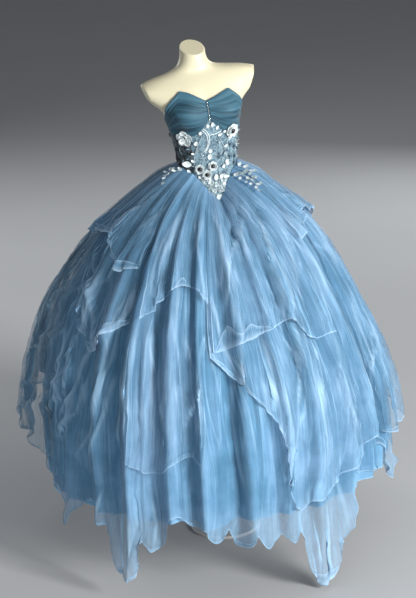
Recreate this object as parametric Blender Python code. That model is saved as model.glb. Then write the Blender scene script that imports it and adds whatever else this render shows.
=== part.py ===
"""Strapless ball gown of layered tulle, standing on a limbless dress form with a pole and a round base.

The front faces -Y. An angle of 0 is the front, 90 the gown's +X side, 180 the back.
The cloth is a set of walls. The skirt's walls all follow one lattice of fold lines and
ring heights, and lie in lanes one over the other, so that nested folds never cross.
"""
import math

import bmesh
import bpy
from mathutils import Vector

# Driving sizes, in metres.
waist_height = 1.513
tulle_wall = 0.0015
bodice_wall = 0.0020
form_clearance = 0.0025
seam_gap = 0.0004
level_drop = 0.600
hem_drop = 1.198
smallest_step = 0.030
gores = 4
first_gore_angle = -135.0

form_rows = (
    # height over the waist, half width, half depth, shift to +X, shift to the back, rise to +X
    (-0.300, 0.100, 0.072, 0.000, 0.000, 0.00),
    (-0.288, 0.140, 0.102, 0.000, 0.000, 0.00),
    (-0.245, 0.162, 0.118, 0.000, 0.000, 0.00),
    (-0.200, 0.171, 0.125, 0.000, 0.000, 0.00),
    (-0.150, 0.164, 0.119, 0.000, 0.000, 0.00),
    (-0.100, 0.145, 0.107, 0.000, 0.000, 0.00),
    (-0.050, 0.121, 0.091, 0.000, 0.000, 0.00),
    (0.000, 0.1085, 0.083, 0.000, 0.000, 0.00),
    (0.060, 0.1140, 0.086, -0.001, 0.000, 0.00),
    (0.105, 0.1215, 0.090, -0.003, 0.001, 0.01),
    (0.135, 0.1280, 0.093, -0.004, 0.001, 0.01),
    (0.160, 0.1335, 0.095, -0.006, 0.002, 0.01),
    (0.182, 0.1385, 0.096, -0.008, 0.003, 0.02),
    (0.203, 0.1430, 0.097, -0.010, 0.004, 0.02),
    (0.226, 0.1560, 0.096, -0.012, 0.006, 0.03),
    (0.250, 0.1840, 0.093, -0.014, 0.009, 0.04),
    (0.278, 0.2200, 0.087, -0.016, 0.013, 0.05),
    (0.308, 0.2480, 0.077, -0.019, 0.018, 0.07),
    (0.332, 0.2420, 0.063, -0.021, 0.023, 0.09),
    (0.350, 0.1900, 0.050, -0.023, 0.027, 0.09),
    (0.361, 0.1120, 0.045, -0.024, 0.029, 0.08),
    (0.373, 0.0700, 0.048, -0.025, 0.030, 0.06),
    (0.394, 0.0520, 0.050, -0.026, 0.030, 0.04),
    (0.430, 0.0475, 0.050, -0.027, 0.030, 0.02),
    (0.490, 0.0465, 0.050, -0.028, 0.030, 0.00),
)
form_segments = 40
cup_angle = 40.0
cup_spread = 25.0
cup_height = 0.212
cup_rise = 0.052
cup_depth = 0.034
arm_cut_reach = 0.194
arm_cut_height = 0.270
arm_cut_tilt = 22.0
neck_cut_height = 0.442
neck_cut_tilt = 24.0

base_radius = 0.140
base_thickness = 0.012
base_rim = 0.003
pole_radius = 0.0125
stand_gap = 0.0003

waist_seam = (
    # angle, drop of the bodice's lower edge under the waist
    (-180.0, 0.000),
    (-72.0, 0.000),
    (-46.0, 0.020),
    (-20.0, 0.070),
    (4.0, 0.122),
    (26.0, 0.066),
    (48.0, 0.020),
    (75.0, 0.000),
    (180.0, 0.000),
)
bust_floor = (
    # angle to either side, height of the seam under the bust
    (0.0, 0.186),
    (8.0, 0.176),
    (22.0, 0.150),
    (38.0, 0.132),
    (56.0, 0.128),
    (74.0, 0.134),
    (92.0, 0.132),
)
bust_edge = (
    # angle at the seam under the bust, angle at the top, height at the top
    (3.0, 3.0, 0.258),
    (19.0, 17.0, 0.272),
    (41.0, 38.0, 0.290),
    (57.0, 54.0, 0.297),
    (74.0, 68.0, 0.256),
    (92.0, 84.0, 0.200),
)
front_lines = (3.0, 8.0, 15.0, 22.0, 30.0, 38.0, 46.0)
side_lines = (46.0, 56.0, 65.0, 72.5, 79.5, 86.0, 92.0)
back_lines = (92.0, 104.0, 117.0, 130.0, 143.0, 156.0, 166.0, 176.0)
back_top = (
    # angle to either side, height of the back's top edge
    (92.0, 0.196),
    (130.0, 0.176),
    (180.0, 0.168),
)
bust_pleats = 9
bust_pleat_depth = 0.0045
least_pleat_share = 0.45
bust_ease = 0.0020
lace_relief = 0.0018
lace_ground = 0.35
lace_scroll_turns = 7.0
lace_scroll_rise = 60.0
lace_leaf_turns = 5.0
lace_leaf_rise = 150.0
edge_fade_rate = 8.0

folds = (
    # share of the gore's width, depth against the ring's fold depth
    (0.155, 0.95),
    (0.120, 0.60),
    (0.165, 1.00),
    (0.135, 0.75),
    (0.115, 0.55),
    (0.170, 0.90),
    (0.140, 0.70),
)
fold_columns = (
    # share of the fold's width, wave from ridge to valley
    (0.00, 1.00),
    (0.34, -0.10),
    (0.66, -1.00),
)
skirt_rings = (
    # drop under the seam, radius of the innermost lane, fold depth, room for one lane, lean to -X
    (0.000, 0.1120, 0.0000, 0.0021, 0.000),
    (0.040, 0.1860, 0.0015, 0.0028, 0.003),
    (0.110, 0.2730, 0.0050, 0.0040, 0.008),
    (0.220, 0.3760, 0.0100, 0.0055, 0.012),
    (0.380, 0.4770, 0.0160, 0.0070, 0.011),
    (0.600, 0.5770, 0.0210, 0.0080, 0.006),
    (0.880, 0.6450, 0.0240, 0.0090, 0.002),
    (1.198, 0.6600, 0.0260, 0.0100, 0.000),
    (1.340, 0.6520, 0.0220, 0.0100, 0.000),
    (1.520, 0.6420, 0.0180, 0.0100, 0.000),
)
hem_points = (
    # angle, drop of the handkerchief hem all round the skirt
    (-110.0, 1.160),
    (-98.0, 1.150),
    (-90.0, 1.180),
    (-81.0, 1.215),
    (-71.0, 1.245),
    (-62.0, 1.175),
    (-55.0, 1.260),
    (-51.0, 1.380),
    (-46.5, 1.472),
    (-42.0, 1.390),
    (-36.0, 1.300),
    (-30.0, 1.160),
    (-25.0, 1.200),
    (-14.0, 1.215),
    (-6.0, 1.275),
    (5.0, 1.295),
    (9.0, 1.280),
    (14.0, 1.410),
    (18.0, 1.502),
    (25.0, 1.450),
    (30.0, 1.380),
    (34.0, 1.210),
    (40.0, 1.165),
    (50.0, 1.140),
    (57.0, 1.090),
    (68.0, 1.170),
    (90.0, 1.210),
    (118.0, 1.220),
    (127.0, 1.350),
    (132.0, 1.460),
    (138.0, 1.340),
    (147.0, 1.210),
    (170.0, 1.190),
    (188.0, 1.240),
    (201.0, 1.330),
    (206.0, 1.455),
    (212.0, 1.350),
    (222.0, 1.230),
    (236.0, 1.190),
    (250.0, 1.160),
)
handkerchief_panels = (
    # name, first angle, last angle
    ("tulle_points_front_left", -110.0, -20.0),
    ("tulle_points_front_right", -20.0, 70.0),
    ("tulle_points_back_right", 70.0, 160.0),
    ("tulle_points_back_left", 160.0, 250.0),
)
drapes = (
    # name, lane, ruffle, rows (drop, how far the cloth stands off), hem rows (angle, drop)
    ("drape_left_outer", 2, 0.010, ((0.38, 0.000), (0.60, 0.090), (0.88, 0.075), (1.12, 0.105)),
     ((-136.0, 0.86), (-118.0, 1.02), (-104.0, 1.12), (-96.0, 1.12), (-86.0, 1.14))),
    ("drape_left_front", 2, 0.006, ((0.36, 0.000), (0.60, 0.010)),
     ((-82.0, 0.36), (-74.0, 0.48), (-65.0, 0.61), (-56.0, 0.52), (-47.0, 0.46))),
    ("drape_centre_long", 2, 0.006, ((0.50, 0.000), (0.98, 0.008)),
     ((-44.0, 0.98), (-32.0, 0.99), (-26.0, 0.95), (-20.0, 0.95))),
    ("drape_cascade", 2, 0.008, ((0.62, 0.000), (1.10, 0.012)),
     ((-17.0, 0.60), (-5.0, 0.73), (4.0, 0.91), (9.0, 1.10), (22.0, 1.12), (34.0, 1.08), (46.0, 1.02))),
    ("drape_right_outer", 2, 0.010, ((0.56, 0.000), (1.05, 0.025)),
     ((50.0, 1.02), (58.0, 1.06), (70.0, 1.05), (84.0, 0.94), (104.0, 0.84))),
    ("drape_back_right_long", 2, 0.010, ((0.62, 0.000), (1.05, 0.016)),
     ((112.0, 0.78), (126.0, 0.96), (138.0, 1.06), (152.0, 0.90), (166.0, 0.78))),
    ("drape_back_left_long", 2, 0.010, ((0.62, 0.000), (1.05, 0.016)),
     ((172.0, 0.80), (186.0, 0.94), (198.0, 1.04), (212.0, 0.88), (220.0, 0.80))),
    ("drape_left_upper", 3, 0.010, ((0.11, 0.000), (0.38, 0.024), (0.52, 0.052)),
     ((-142.0, 0.40), (-128.0, 0.48), (-114.0, 0.52), (-106.0, 0.46))),
    ("drape_left_hip", 3, 0.010, ((0.11, 0.000), (0.33, 0.018)),
     ((-102.0, 0.26), (-90.0, 0.25), (-76.0, 0.22), (-66.0, 0.29), (-58.0, 0.33), (-46.0, 0.29))),
    ("drape_centre", 3, 0.006, ((0.22, 0.000), (0.46, 0.010)),
     ((-44.0, 0.47), (-38.0, 0.40), (-28.0, 0.35), (-20.0, 0.36), (-16.0, 0.40))),
    ("drape_right_front", 3, 0.006, ((0.28, 0.000), (0.58, 0.012)),
     ((-12.0, 0.54), (-2.0, 0.56), (8.0, 0.53), (14.0, 0.50), (22.0, 0.55), (37.0, 0.58))),
    ("drape_right_flare", 3, 0.008, ((0.08, 0.000), (0.24, 0.010)),
     ((42.0, 0.30), (54.0, 0.24), (62.0, 0.19), (78.0, 0.24), (96.0, 0.28))),
    ("drape_back_right_short", 3, 0.010, ((0.20, 0.000), (0.54, 0.022)),
     ((104.0, 0.34), (118.0, 0.44), (132.0, 0.54), (148.0, 0.44), (160.0, 0.38))),
    ("drape_back_left_short", 3, 0.010, ((0.20, 0.000), (0.54, 0.022)),
     ((166.0, 0.38), (180.0, 0.46), (194.0, 0.52), (206.0, 0.42), (214.0, 0.36))),
)
ruffle_turn = 2.1
points_stand_off = ((1.198, 0.000), (1.520, 0.055))
close_all_round = ((0.0, 0.0), (1.520, 0.0))

flower_petals = 5
flower_segments = 15
flower_wall = 0.0014
petal_notch = 0.16
centre_share = 0.30
centre_flatness = 0.55
centre_gap = 0.0005
flower_rings = (
    # share of the radius, rise against the cup's depth
    (0.00, 0.00),
    (0.36, 0.04),
    (0.72, 0.55),
    (1.00, 1.00),
)
flowers = (
    # name, angle, height over the waist, radius, cup depth, whether it has a dark centre
    ("flower_bust_right", 46.0, 0.136, 0.0250, 0.0130, True),
    ("flower_bust_left", -57.0, 0.124, 0.0270, 0.0150, False),
    ("flower_waist_left", -33.0, -0.001, 0.0165, 0.0100, True),
    ("flower_waist_middle", -2.0, 0.009, 0.0165, 0.0100, True),
    ("flower_waist_low", -16.0, -0.029, 0.0165, 0.0100, True),
)
flower_stand_off = 0.0045
bodice_sprigs = (
    # name, leaves, half width, rows (angle, height over the waist)
    ("leaves_lace_left", 4, 0.0120, ((-44.0, 0.020), (-40.0, 0.060), (-30.0, 0.100), (-22.0, 0.128))),
    ("leaves_lace_right", 4, 0.0120, ((30.0, 0.000), (34.0, 0.040), (28.0, 0.080), (16.0, 0.124))),
    ("leaves_basque", 3, 0.0130, ((12.0, -0.010), (14.0, -0.034), (10.0, -0.062), (5.0, -0.098))),
    ("leaf_waist_left", 1, 0.0100, ((-68.0, 0.026), (-59.0, 0.023), (-50.0, 0.020))),
)
skirt_sprigs = (
    # name, leaves, half width, rows (angle, drop under the seam)
    ("leaves_hip_left", 4, 0.0110, ((-62.0, 0.020), (-69.0, 0.022), (-74.0, 0.032), (-72.0, 0.060))),
    ("leaves_hip_right", 4, 0.0130, ((41.0, 0.022), (45.0, 0.045), (46.0, 0.068), (47.0, 0.100))),
    ("leaves_hip_side", 3, 0.0120, ((70.0, 0.024), (66.0, 0.046), (65.0, 0.080))),
)
sprig_stand_off = 0.0060
sprig_wall = 0.0014
stem_half_width = 0.0022
leaf_roundness = 0.8
sprig_step = 0.01
steps_per_leaf = 3
lanes_under_sprigs = 3

colours = {
    # name: red, green, blue, roughness
    "tulle": (0.26, 0.42, 0.62, 0.80),
    "bust tulle": (0.09, 0.20, 0.31, 0.70),
    "lace": (0.42, 0.55, 0.66, 0.75),
    "petals": (0.82, 0.86, 0.86, 0.60),
    "flower centre": (0.01, 0.01, 0.015, 0.35),
    "form": (0.80, 0.76, 0.64, 0.45),
    "stand": (0.78, 0.76, 0.70, 0.35),
}


def clear_scene():
    for old in list(bpy.data.objects):
        bpy.data.objects.remove(old, do_unlink=True)


def make_material(name):
    red, green, blue, roughness = colours[name]
    material = bpy.data.materials.new(name)
    material.use_nodes = True
    shader = material.node_tree.nodes["Principled BSDF"]
    shader.inputs["Base Color"].default_value = (red, green, blue, 1.0)
    shader.inputs["Roughness"].default_value = roughness
    shader.inputs["Metallic"].default_value = 0.0
    return material


def add_object(name, mesh_data, colour):
    mesh = bpy.data.meshes.new(name)
    bmesh.ops.recalc_face_normals(mesh_data, faces=mesh_data.faces)
    mesh_data.to_mesh(mesh)
    mesh_data.free()
    mesh.materials.append(make_material(colour))
    thing = bpy.data.objects.new(name, mesh)
    bpy.context.scene.collection.objects.link(thing)
    return thing


def read_table(table, position, column=1):
    """The table's column at a position, on straight lines between its rows."""
    if position <= table[0][0]:
        return table[0][column]
    for low, high in zip(table, table[1:]):
        if position <= high[0]:
            share = (position - low[0]) / (high[0] - low[0])
            return low[column] + share * (high[column] - low[column])
    return table[-1][column]


def half_turn(angle):
    """The same direction as an angle from -180 to 180."""
    return (angle + 180.0) % 360.0 - 180.0


def direction(angle):
    turn = math.radians(angle)
    return Vector((math.sin(turn), -math.cos(turn), 0.0))


# The dress form, and the close surface that the bodice follows.

def form_radius(angle, height):
    half_width = read_table(form_rows, height, 1)
    half_depth = read_table(form_rows, height, 2)
    turn = math.radians(angle)
    plain = 1.0 / math.hypot(math.sin(turn) / half_width, math.cos(turn) / half_depth)
    across = (abs(half_turn(angle)) - cup_angle) / cup_spread
    along = (height - cup_height) / cup_rise
    return plain + cup_depth * math.exp(-across * across - along * along)


def form_point(angle, height):
    reach = direction(angle) * form_radius(angle, height)
    rise = reach.x * read_table(form_rows, height, 5)
    return reach + Vector((read_table(form_rows, height, 3), read_table(form_rows, height, 4),
                           waist_height + height + rise))


def bodice_point(angle, height, out):
    """A point over the form, moved out along the form's own normal."""
    turn_step = 1.0
    height_step = 0.003
    across = form_point(angle + turn_step, height) - form_point(angle - turn_step, height)
    upward = form_point(angle, height + height_step) - form_point(angle, height - height_step)
    outward = across.cross(upward).normalized()
    return form_point(angle, height) + outward * (form_clearance + out)


def ring_loft(mesh_data, rings):
    """Skin a stack of closed rings, and close its two ends."""
    loops = [[mesh_data.verts.new(point) for point in ring] for ring in rings]
    count = len(loops[0])
    for lower, upper in zip(loops, loops[1:]):
        for place in range(count):
            following = (place + 1) % count
            mesh_data.faces.new((lower[place], lower[following], upper[following], upper[place]))
    mesh_data.faces.new(list(reversed(loops[0])))
    mesh_data.faces.new(loops[-1])


def cut_flat(mesh_data, point, outward):
    """Cut away what lies beyond a plane, and close the cut with one flat face."""
    everything = list(mesh_data.verts) + list(mesh_data.edges) + list(mesh_data.faces)
    result = bmesh.ops.bisect_plane(mesh_data, geom=everything, plane_co=point, plane_no=outward,
                                    clear_outer=True, dist=1e-6)
    rim = [piece for piece in result["geom_cut"] if isinstance(piece, bmesh.types.BMEdge)]
    bmesh.ops.contextual_create(mesh_data, geom=rim)


def make_form():
    mesh_data = bmesh.new()
    rings = []
    for row in form_rows:
        angles = [360.0 * place / form_segments for place in range(form_segments)]
        rings.append([form_point(angle, row[0]) for angle in angles])
    ring_loft(mesh_data, rings)
    shift = read_table(form_rows, arm_cut_height, 3)
    rise = read_table(form_rows, arm_cut_height, 5)
    tilt = math.radians(arm_cut_tilt)
    for side in (-1.0, 1.0):
        reach = side * arm_cut_reach
        cut_flat(mesh_data, Vector((reach + shift, 0.0, waist_height + arm_cut_height + rise * reach)),
                 Vector((side * math.cos(tilt), 0.0, -math.sin(tilt))))
    lean = math.radians(neck_cut_tilt)
    cut_flat(mesh_data, form_neck_centre(), Vector((0.0, -math.sin(lean), math.cos(lean))))
    torso = add_object("form_torso", mesh_data, "form")
    torso.data.shade_smooth()
    torso.data.set_sharp_from_angle(angle=math.radians(40.0))


def form_neck_centre():
    return Vector((read_table(form_rows, neck_cut_height, 3), read_table(form_rows, neck_cut_height, 4),
                   waist_height + neck_cut_height))


def make_stand():
    bpy.ops.mesh.primitive_cylinder_add(vertices=36, radius=base_radius, depth=base_thickness,
                                        location=(0.0, 0.0, base_thickness / 2.0))
    base = bpy.context.object
    base.name = "stand_base"
    base.data.materials.append(make_material("stand"))
    bevel = base.modifiers.new("rounded rim", "BEVEL")
    bevel.width = base_rim
    bevel.segments = 1
    bevel.limit_method = "ANGLE"
    pole_foot = base_thickness + stand_gap
    pole_head = waist_height + form_rows[0][0] - stand_gap
    bpy.ops.mesh.primitive_cylinder_add(vertices=20, radius=pole_radius, depth=pole_head - pole_foot,
                                        location=(0.0, 0.0, (pole_head + pole_foot) / 2.0))
    pole = bpy.context.object
    pole.name = "stand_pole"
    pole.data.materials.append(make_material("stand"))


# Walls of cloth. A wall is a row of columns, and a column a list of (inside, outside) points
# from the top edge down. Neighbouring columns may have different numbers of points.

def wall_side(mesh_data, columns, flip):
    for left, right in zip(columns, columns[1:]):
        shared = min(len(left), len(right)) - 1
        for row in range(shared):
            add_triangle(mesh_data, (left[row], left[row + 1], right[row + 1]), flip)
            add_triangle(mesh_data, (left[row], right[row + 1], right[row]), flip)
        for row in range(shared, len(left) - 1):
            add_triangle(mesh_data, (left[row], left[row + 1], right[-1]), flip)
        for row in range(shared, len(right) - 1):
            add_triangle(mesh_data, (left[-1], right[row + 1], right[row]), flip)


def add_triangle(mesh_data, corners, flip):
    mesh_data.faces.new(tuple(reversed(corners)) if flip else corners)


def wall_rim(mesh_data, inside, outside):
    """Close the gap between the two sides of a wall along one edge."""
    for place in range(len(inside) - 1):
        mesh_data.faces.new((inside[place], inside[place + 1], outside[place + 1], outside[place]))


def make_wall(name, columns, colour):
    mesh_data = bmesh.new()
    inside = [[mesh_data.verts.new(pair[0]) for pair in column] for column in columns]
    outside = [[mesh_data.verts.new(pair[1]) for pair in column] for column in columns]
    wall_side(mesh_data, outside, False)
    wall_side(mesh_data, inside, True)
    wall_rim(mesh_data, [column[0] for column in inside], [column[0] for column in outside])
    wall_rim(mesh_data, [column[-1] for column in inside], [column[-1] for column in outside])
    wall_rim(mesh_data, inside[0], outside[0])
    wall_rim(mesh_data, inside[-1], outside[-1])
    return add_object(name, mesh_data, colour)


# The bodice.

def trimmed(lines):
    """A piece's lines, with its first and last moved in by half a seam's gap."""
    gap = math.degrees(seam_gap / 2.0 / form_radius(lines[0], 0.0))
    return (lines[0] + gap,) + tuple(lines[1:-1]) + (lines[-1] - gap,)


def mirrored(lines):
    return tuple(-angle for angle in reversed(lines))


def bodice_panel(name, lines, rows, top, floor, relief, colour):
    """A panel with a column on each line. top and floor give its edges' heights at an angle."""
    wall = []
    for place, angle in enumerate(trimmed(lines)):
        column = []
        for row in range(rows + 1):
            along = row / rows
            height = top(angle) + along * (floor(angle) - top(angle))
            raised = relief(angle, height) * edge_fade(place / (len(lines) - 1)) * edge_fade(along)
            column.append((bodice_point(angle, height, 0.0),
                           bodice_point(angle, height, bodice_wall + raised)))
        wall.append(column)
    return make_wall(name, wall, colour)


def edge_fade(share):
    """1 inside a panel, 0 on its edge."""
    return min(1.0, edge_fade_rate * share, edge_fade_rate * (1.0 - share))


def lace_height(angle, height):
    """Scrolls and leaves of thick lace, as a height over the ground net."""
    turn = math.radians(angle)
    scroll = math.sin(turn * lace_scroll_turns + height * lace_scroll_rise)
    leaves = math.sin(height * lace_leaf_rise - turn * lace_leaf_turns)
    return lace_relief * max(0.0, lace_ground + (1.0 - lace_ground) * scroll * leaves)


def plain_height(angle, height):
    return 0.0


def under_bust(angle):
    return read_table(bust_floor, abs(angle)) - seam_gap


def waist_edge(angle):
    return -read_table(waist_seam, half_turn(angle))


def back_edge(angle):
    return read_table(back_top, abs(half_turn(angle)))


def make_bust_drape(name, side):
    """One side of the ruched bust: pleats that leave the centre band and fan over the cup."""
    lines = trimmed(front_lines[:-1] + side_lines)
    rows = 2 * bust_pleats
    wall = []
    for floor_angle in lines:
        top_angle = read_table(bust_edge, floor_angle, 1)
        top_height = read_table(bust_edge, floor_angle, 2)
        floor_height = read_table(bust_floor, floor_angle)
        outward_share = (floor_angle - lines[0]) / (lines[-1] - lines[0])
        swell = math.sin(math.pi * (0.2 + 0.8 * outward_share))
        depth = bust_pleat_depth * (least_pleat_share + (1.0 - least_pleat_share) * swell)
        column = []
        for row in range(rows + 1):
            along = row / rows
            angle = side * (top_angle + along * (floor_angle - top_angle))
            height = top_height + along * (floor_height - top_height)
            raised = depth if row % 2 else 0.0
            column.append((bodice_point(angle, height, bust_ease),
                           bodice_point(angle, height, bust_ease + bodice_wall + raised)))
        wall.append(column)
    return make_wall(name, wall, "bust tulle")


def make_bodice():
    make_bust_drape("bust_drape_left", -1.0)
    make_bust_drape("bust_drape_right", 1.0)
    centre = mirrored(front_lines[:1]) + (0.0,) + front_lines[:1]
    bodice_panel("bust_centre_band", centre, 6, lambda angle: bust_edge[0][2],
                 lambda angle: bust_floor[0][1], plain_height, "bust tulle")
    front = mirrored(front_lines) + (0.0,) + front_lines
    bodice_panel("midriff_front", front, 9, under_bust, waist_edge, lace_height, "lace")
    bodice_panel("midriff_side_left", mirrored(side_lines), 6, under_bust, waist_edge, lace_height, "lace")
    bodice_panel("midriff_side_right", side_lines, 6, under_bust, waist_edge, lace_height, "lace")
    bodice_panel("back_right", back_lines, 6, back_edge, waist_edge, lace_height, "lace")
    bodice_panel("back_left", tuple(360.0 - angle for angle in reversed(back_lines)), 6,
                 back_edge, waist_edge, lace_height, "lace")
    placket = (back_lines[-1], 180.0, 360.0 - back_lines[-1])
    bodice_panel("back_placket", placket, 6, back_edge, waist_edge, plain_height, "lace")


# The skirt's lattice.

def lattice_columns():
    """(angle, wave) of every fold line round the skirt, from the first gore on."""
    lines = []
    gore_width = 360.0 / gores
    for gore in range(gores):
        angle = first_gore_angle + gore * gore_width
        for width, depth in folds:
            for share, wave in fold_columns:
                lines.append((angle + share * width * gore_width, wave * depth))
            angle += width * gore_width
    return lines


fold_lines = lattice_columns()


def fold_line(place):
    """The fold line with this number; numbers run on round the skirt."""
    turns, within = divmod(place, len(fold_lines))
    angle, wave = fold_lines[within]
    return angle + 360.0 * turns, wave


def nearest_fold_line(angle):
    places = range(-len(fold_lines), 2 * len(fold_lines))
    return min(places, key=lambda place: abs(fold_line(place)[0] - angle))


def seam_radius(angle):
    return form_radius(angle, waist_edge(angle)) + form_clearance + bodice_wall + 2.0 * seam_gap


def ring_slope(ring):
    """Growth of the radius for each metre of drop, at a ring."""
    above = skirt_rings[max(ring - 1, 0)]
    below = skirt_rings[min(ring + 1, len(skirt_rings) - 1)]
    return (below[1] - above[1]) / (below[0] - above[0])


def ring_point(angle, wave, ring, lane, extra):
    """A point of a lane where a fold line meets a ring. extra is a further distance outward."""
    drop, radius, fold_depth, room, lean = skirt_rings[ring]
    seam = -waist_edge(angle)
    lowered = seam + seam_gap + drop * (level_drop - seam) / level_drop if drop < level_drop else drop
    if ring == 0:
        radius = seam_radius(angle)
    slope = ring_slope(ring)
    outward = (direction(angle) + Vector((0.0, 0.0, slope))).normalized()
    middle = direction(angle) * radius + Vector((-lean, 0.0, waist_height - lowered))
    return middle + outward * (lane * room + fold_depth * wave + extra)


def lattice_point(angle, wave, drop, lane, extra):
    """As ring_point, for a drop between two rings."""
    ring = 0
    while ring < len(skirt_rings) - 2 and skirt_rings[ring + 1][0] < drop:
        ring += 1
    share = (drop - skirt_rings[ring][0]) / (skirt_rings[ring + 1][0] - skirt_rings[ring][0])
    upper = ring_point(angle, wave, ring, lane, extra)
    lower = ring_point(angle, wave, ring + 1, lane, extra)
    return upper.lerp(lower, share)


def seam_based(angle, drop):
    """A drop under the waist as a drop on the lattice, which starts at the bodice's edge."""
    seam = -waist_edge(angle)
    if drop >= level_drop:
        return drop
    return (drop - seam) * level_drop / (level_drop - seam)


def hang_share(drop, start, hem_at):
    """0 down to where a hem hangs free, and 1 at the hem; a hem over that start stays close."""
    if hem_at <= start + smallest_step:
        return 0.0
    return min(1.0, max(0.0, (drop - start) / (hem_at - start)))


def skirt_sheet(name, lane, ruffle, stand_off, hem_rows, first, last):
    """A sheet of tulle from the waist seam to its hem, gathered on the lattice's folds."""
    start = nearest_fold_line(first)
    end = nearest_fold_line(last)
    wall = []
    for place in range(start, end + 1):
        angle, wave = fold_line(place)
        sideways = Vector((math.cos(math.radians(angle)), math.sin(math.radians(angle)), 0.0))
        side_gap = {start: seam_gap, end: -seam_gap}.get(place, 0.0)
        hem_at = seam_based(angle, read_table(hem_rows, angle))
        drops = [row[0] for row in skirt_rings if row[0] < hem_at - smallest_step] + [hem_at]
        column = []
        for drop in drops:
            freed = hang_share(drop, stand_off[0][0], hem_at)
            extra = read_table(stand_off, drop) + freed * freed * ruffle * (1.0 + math.sin(ruffle_turn * place))
            column.append(tuple(lattice_point(angle, wave, drop, lane, extra + half) + sideways * side_gap
                                for half in (-tulle_wall / 2.0, tulle_wall / 2.0)))
        wall.append(column)
    return make_wall(name, wall, "tulle")


def make_skirt():
    gore_names = ("underskirt_left", "underskirt_front", "underskirt_right", "underskirt_back")
    gore_width = 360.0 / gores
    level_hem = ((first_gore_angle, hem_drop), (first_gore_angle + 360.0, hem_drop))
    for gore, name in enumerate(gore_names):
        first = first_gore_angle + gore * gore_width
        skirt_sheet(name, 0, 0.0, close_all_round, level_hem, first, first + gore_width)
    for name, first, last in handkerchief_panels:
        skirt_sheet(name, 1, 0.0, points_stand_off, hem_points, first, last)
    for name, lane, ruffle, stand_off, hem_rows in drapes:
        skirt_sheet(name, lane, ruffle, stand_off, hem_rows, hem_rows[0][0], hem_rows[-1][0])


# Flowers and leaves.

def make_flower(name, angle, height, radius, cup_depth_here, dark_centre):
    foot = bodice_point(angle, height, bodice_wall + lace_relief + flower_stand_off)
    outward = (foot - bodice_point(angle, height, 0.0)).normalized()
    sideways = Vector((0.0, 0.0, 1.0)).cross(outward).normalized()
    upward = outward.cross(sideways)

    def petal_point(share, rise, turn, lift):
        lobed = 1.0 - petal_notch * share * (1.0 - abs(math.cos(flower_petals * turn / 2.0)))
        reach = radius * share * lobed
        return foot + sideways * (reach * math.cos(turn)) + upward * (reach * math.sin(turn)) \
            + outward * (cup_depth_here * rise * lobed + lift)

    mesh_data = bmesh.new()
    sides = []
    for lift in (0.0, flower_wall):
        centre = mesh_data.verts.new(petal_point(0.0, 0.0, 0.0, lift))
        loops = []
        for share, rise in flower_rings[1:]:
            turns = [2.0 * math.pi * place / flower_segments for place in range(flower_segments)]
            loops.append([mesh_data.verts.new(petal_point(share, rise, turn, lift)) for turn in turns])
        for place in range(flower_segments):
            following = (place + 1) % flower_segments
            mesh_data.faces.new((centre, loops[0][place], loops[0][following]))
            for inner, outer in zip(loops, loops[1:]):
                mesh_data.faces.new((inner[place], outer[place], outer[following], inner[following]))
        sides.append(loops[-1])
    for place in range(flower_segments):
        following = (place + 1) % flower_segments
        mesh_data.faces.new((sides[0][place], sides[1][place], sides[1][following], sides[0][following]))
    add_object(name, mesh_data, "petals")
    if dark_centre:
        make_flower_centre(name + "_centre", foot, outward, radius)


def make_flower_centre(name, foot, outward, radius):
    """A low dark dome in the middle of a flower."""
    dome_radius = centre_share * radius
    seat = foot + outward * (flower_wall + centre_gap + dome_radius * centre_flatness)
    mesh_data = bmesh.new()
    bmesh.ops.create_uvsphere(mesh_data, u_segments=8, v_segments=5, radius=dome_radius)
    for vertex in mesh_data.verts:
        vertex.co.z *= centre_flatness
    turn = outward.to_track_quat("Z", "Y").to_matrix().to_4x4()
    bmesh.ops.transform(mesh_data, matrix=turn, verts=mesh_data.verts)
    bmesh.ops.translate(mesh_data, vec=seat, verts=mesh_data.verts)
    add_object(name, mesh_data, "flower centre")


def leaf_half_width(share, leaves, widest):
    """Half the sprig's width: a slim stem that swells into each leaf."""
    return stem_half_width + widest * abs(math.sin(math.pi * leaves * share)) ** leaf_roundness


def make_sprig(name, leaves, widest, rows, surface):
    """A lobed strip laid over a surface. surface(first, second, out) gives its points."""
    path = tuple((place / (len(rows) - 1),) + row for place, row in enumerate(rows))
    steps = steps_per_leaf * leaves
    wall = []
    for step in range(steps + 1):
        share = step / steps
        before, middle, after = (surface(read_table(path, near, 1), read_table(path, near, 2), 0.0)
                                 for near in (share - sprig_step, share, share + sprig_step))
        over = surface(read_table(path, share, 1), read_table(path, share, 2), sprig_stand_off)
        outward = (over - middle).normalized()
        across = (after - before).cross(outward).normalized()
        half = leaf_half_width(share, leaves, widest)
        column = []
        for reach in (-half, 0.0, half):
            low = middle + across * reach + outward * sprig_stand_off
            column.append((low, low + outward * sprig_wall))
        wall.append(column)
    return make_wall(name, wall, "petals")


def bodice_surface(angle, height, out):
    return bodice_point(angle, height, bodice_wall + lace_relief + out)


def skirt_surface(angle, drop, out):
    return lattice_point(angle, 1.0, drop, lanes_under_sprigs, tulle_wall + out)


def make_flowers_and_leaves():
    for row in flowers:
        make_flower(*row)
    for name, leaves, widest, rows in bodice_sprigs:
        make_sprig(name, leaves, widest, rows, bodice_surface)
    for name, leaves, widest, rows in skirt_sprigs:
        make_sprig(name, leaves, widest, rows, skirt_surface)


clear_scene()
make_form()
make_stand()
make_bodice()
make_skirt()
make_flowers_and_leaves()
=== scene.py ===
import math

import bpy
import numpy as np
from mathutils import Matrix, Vector


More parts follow.
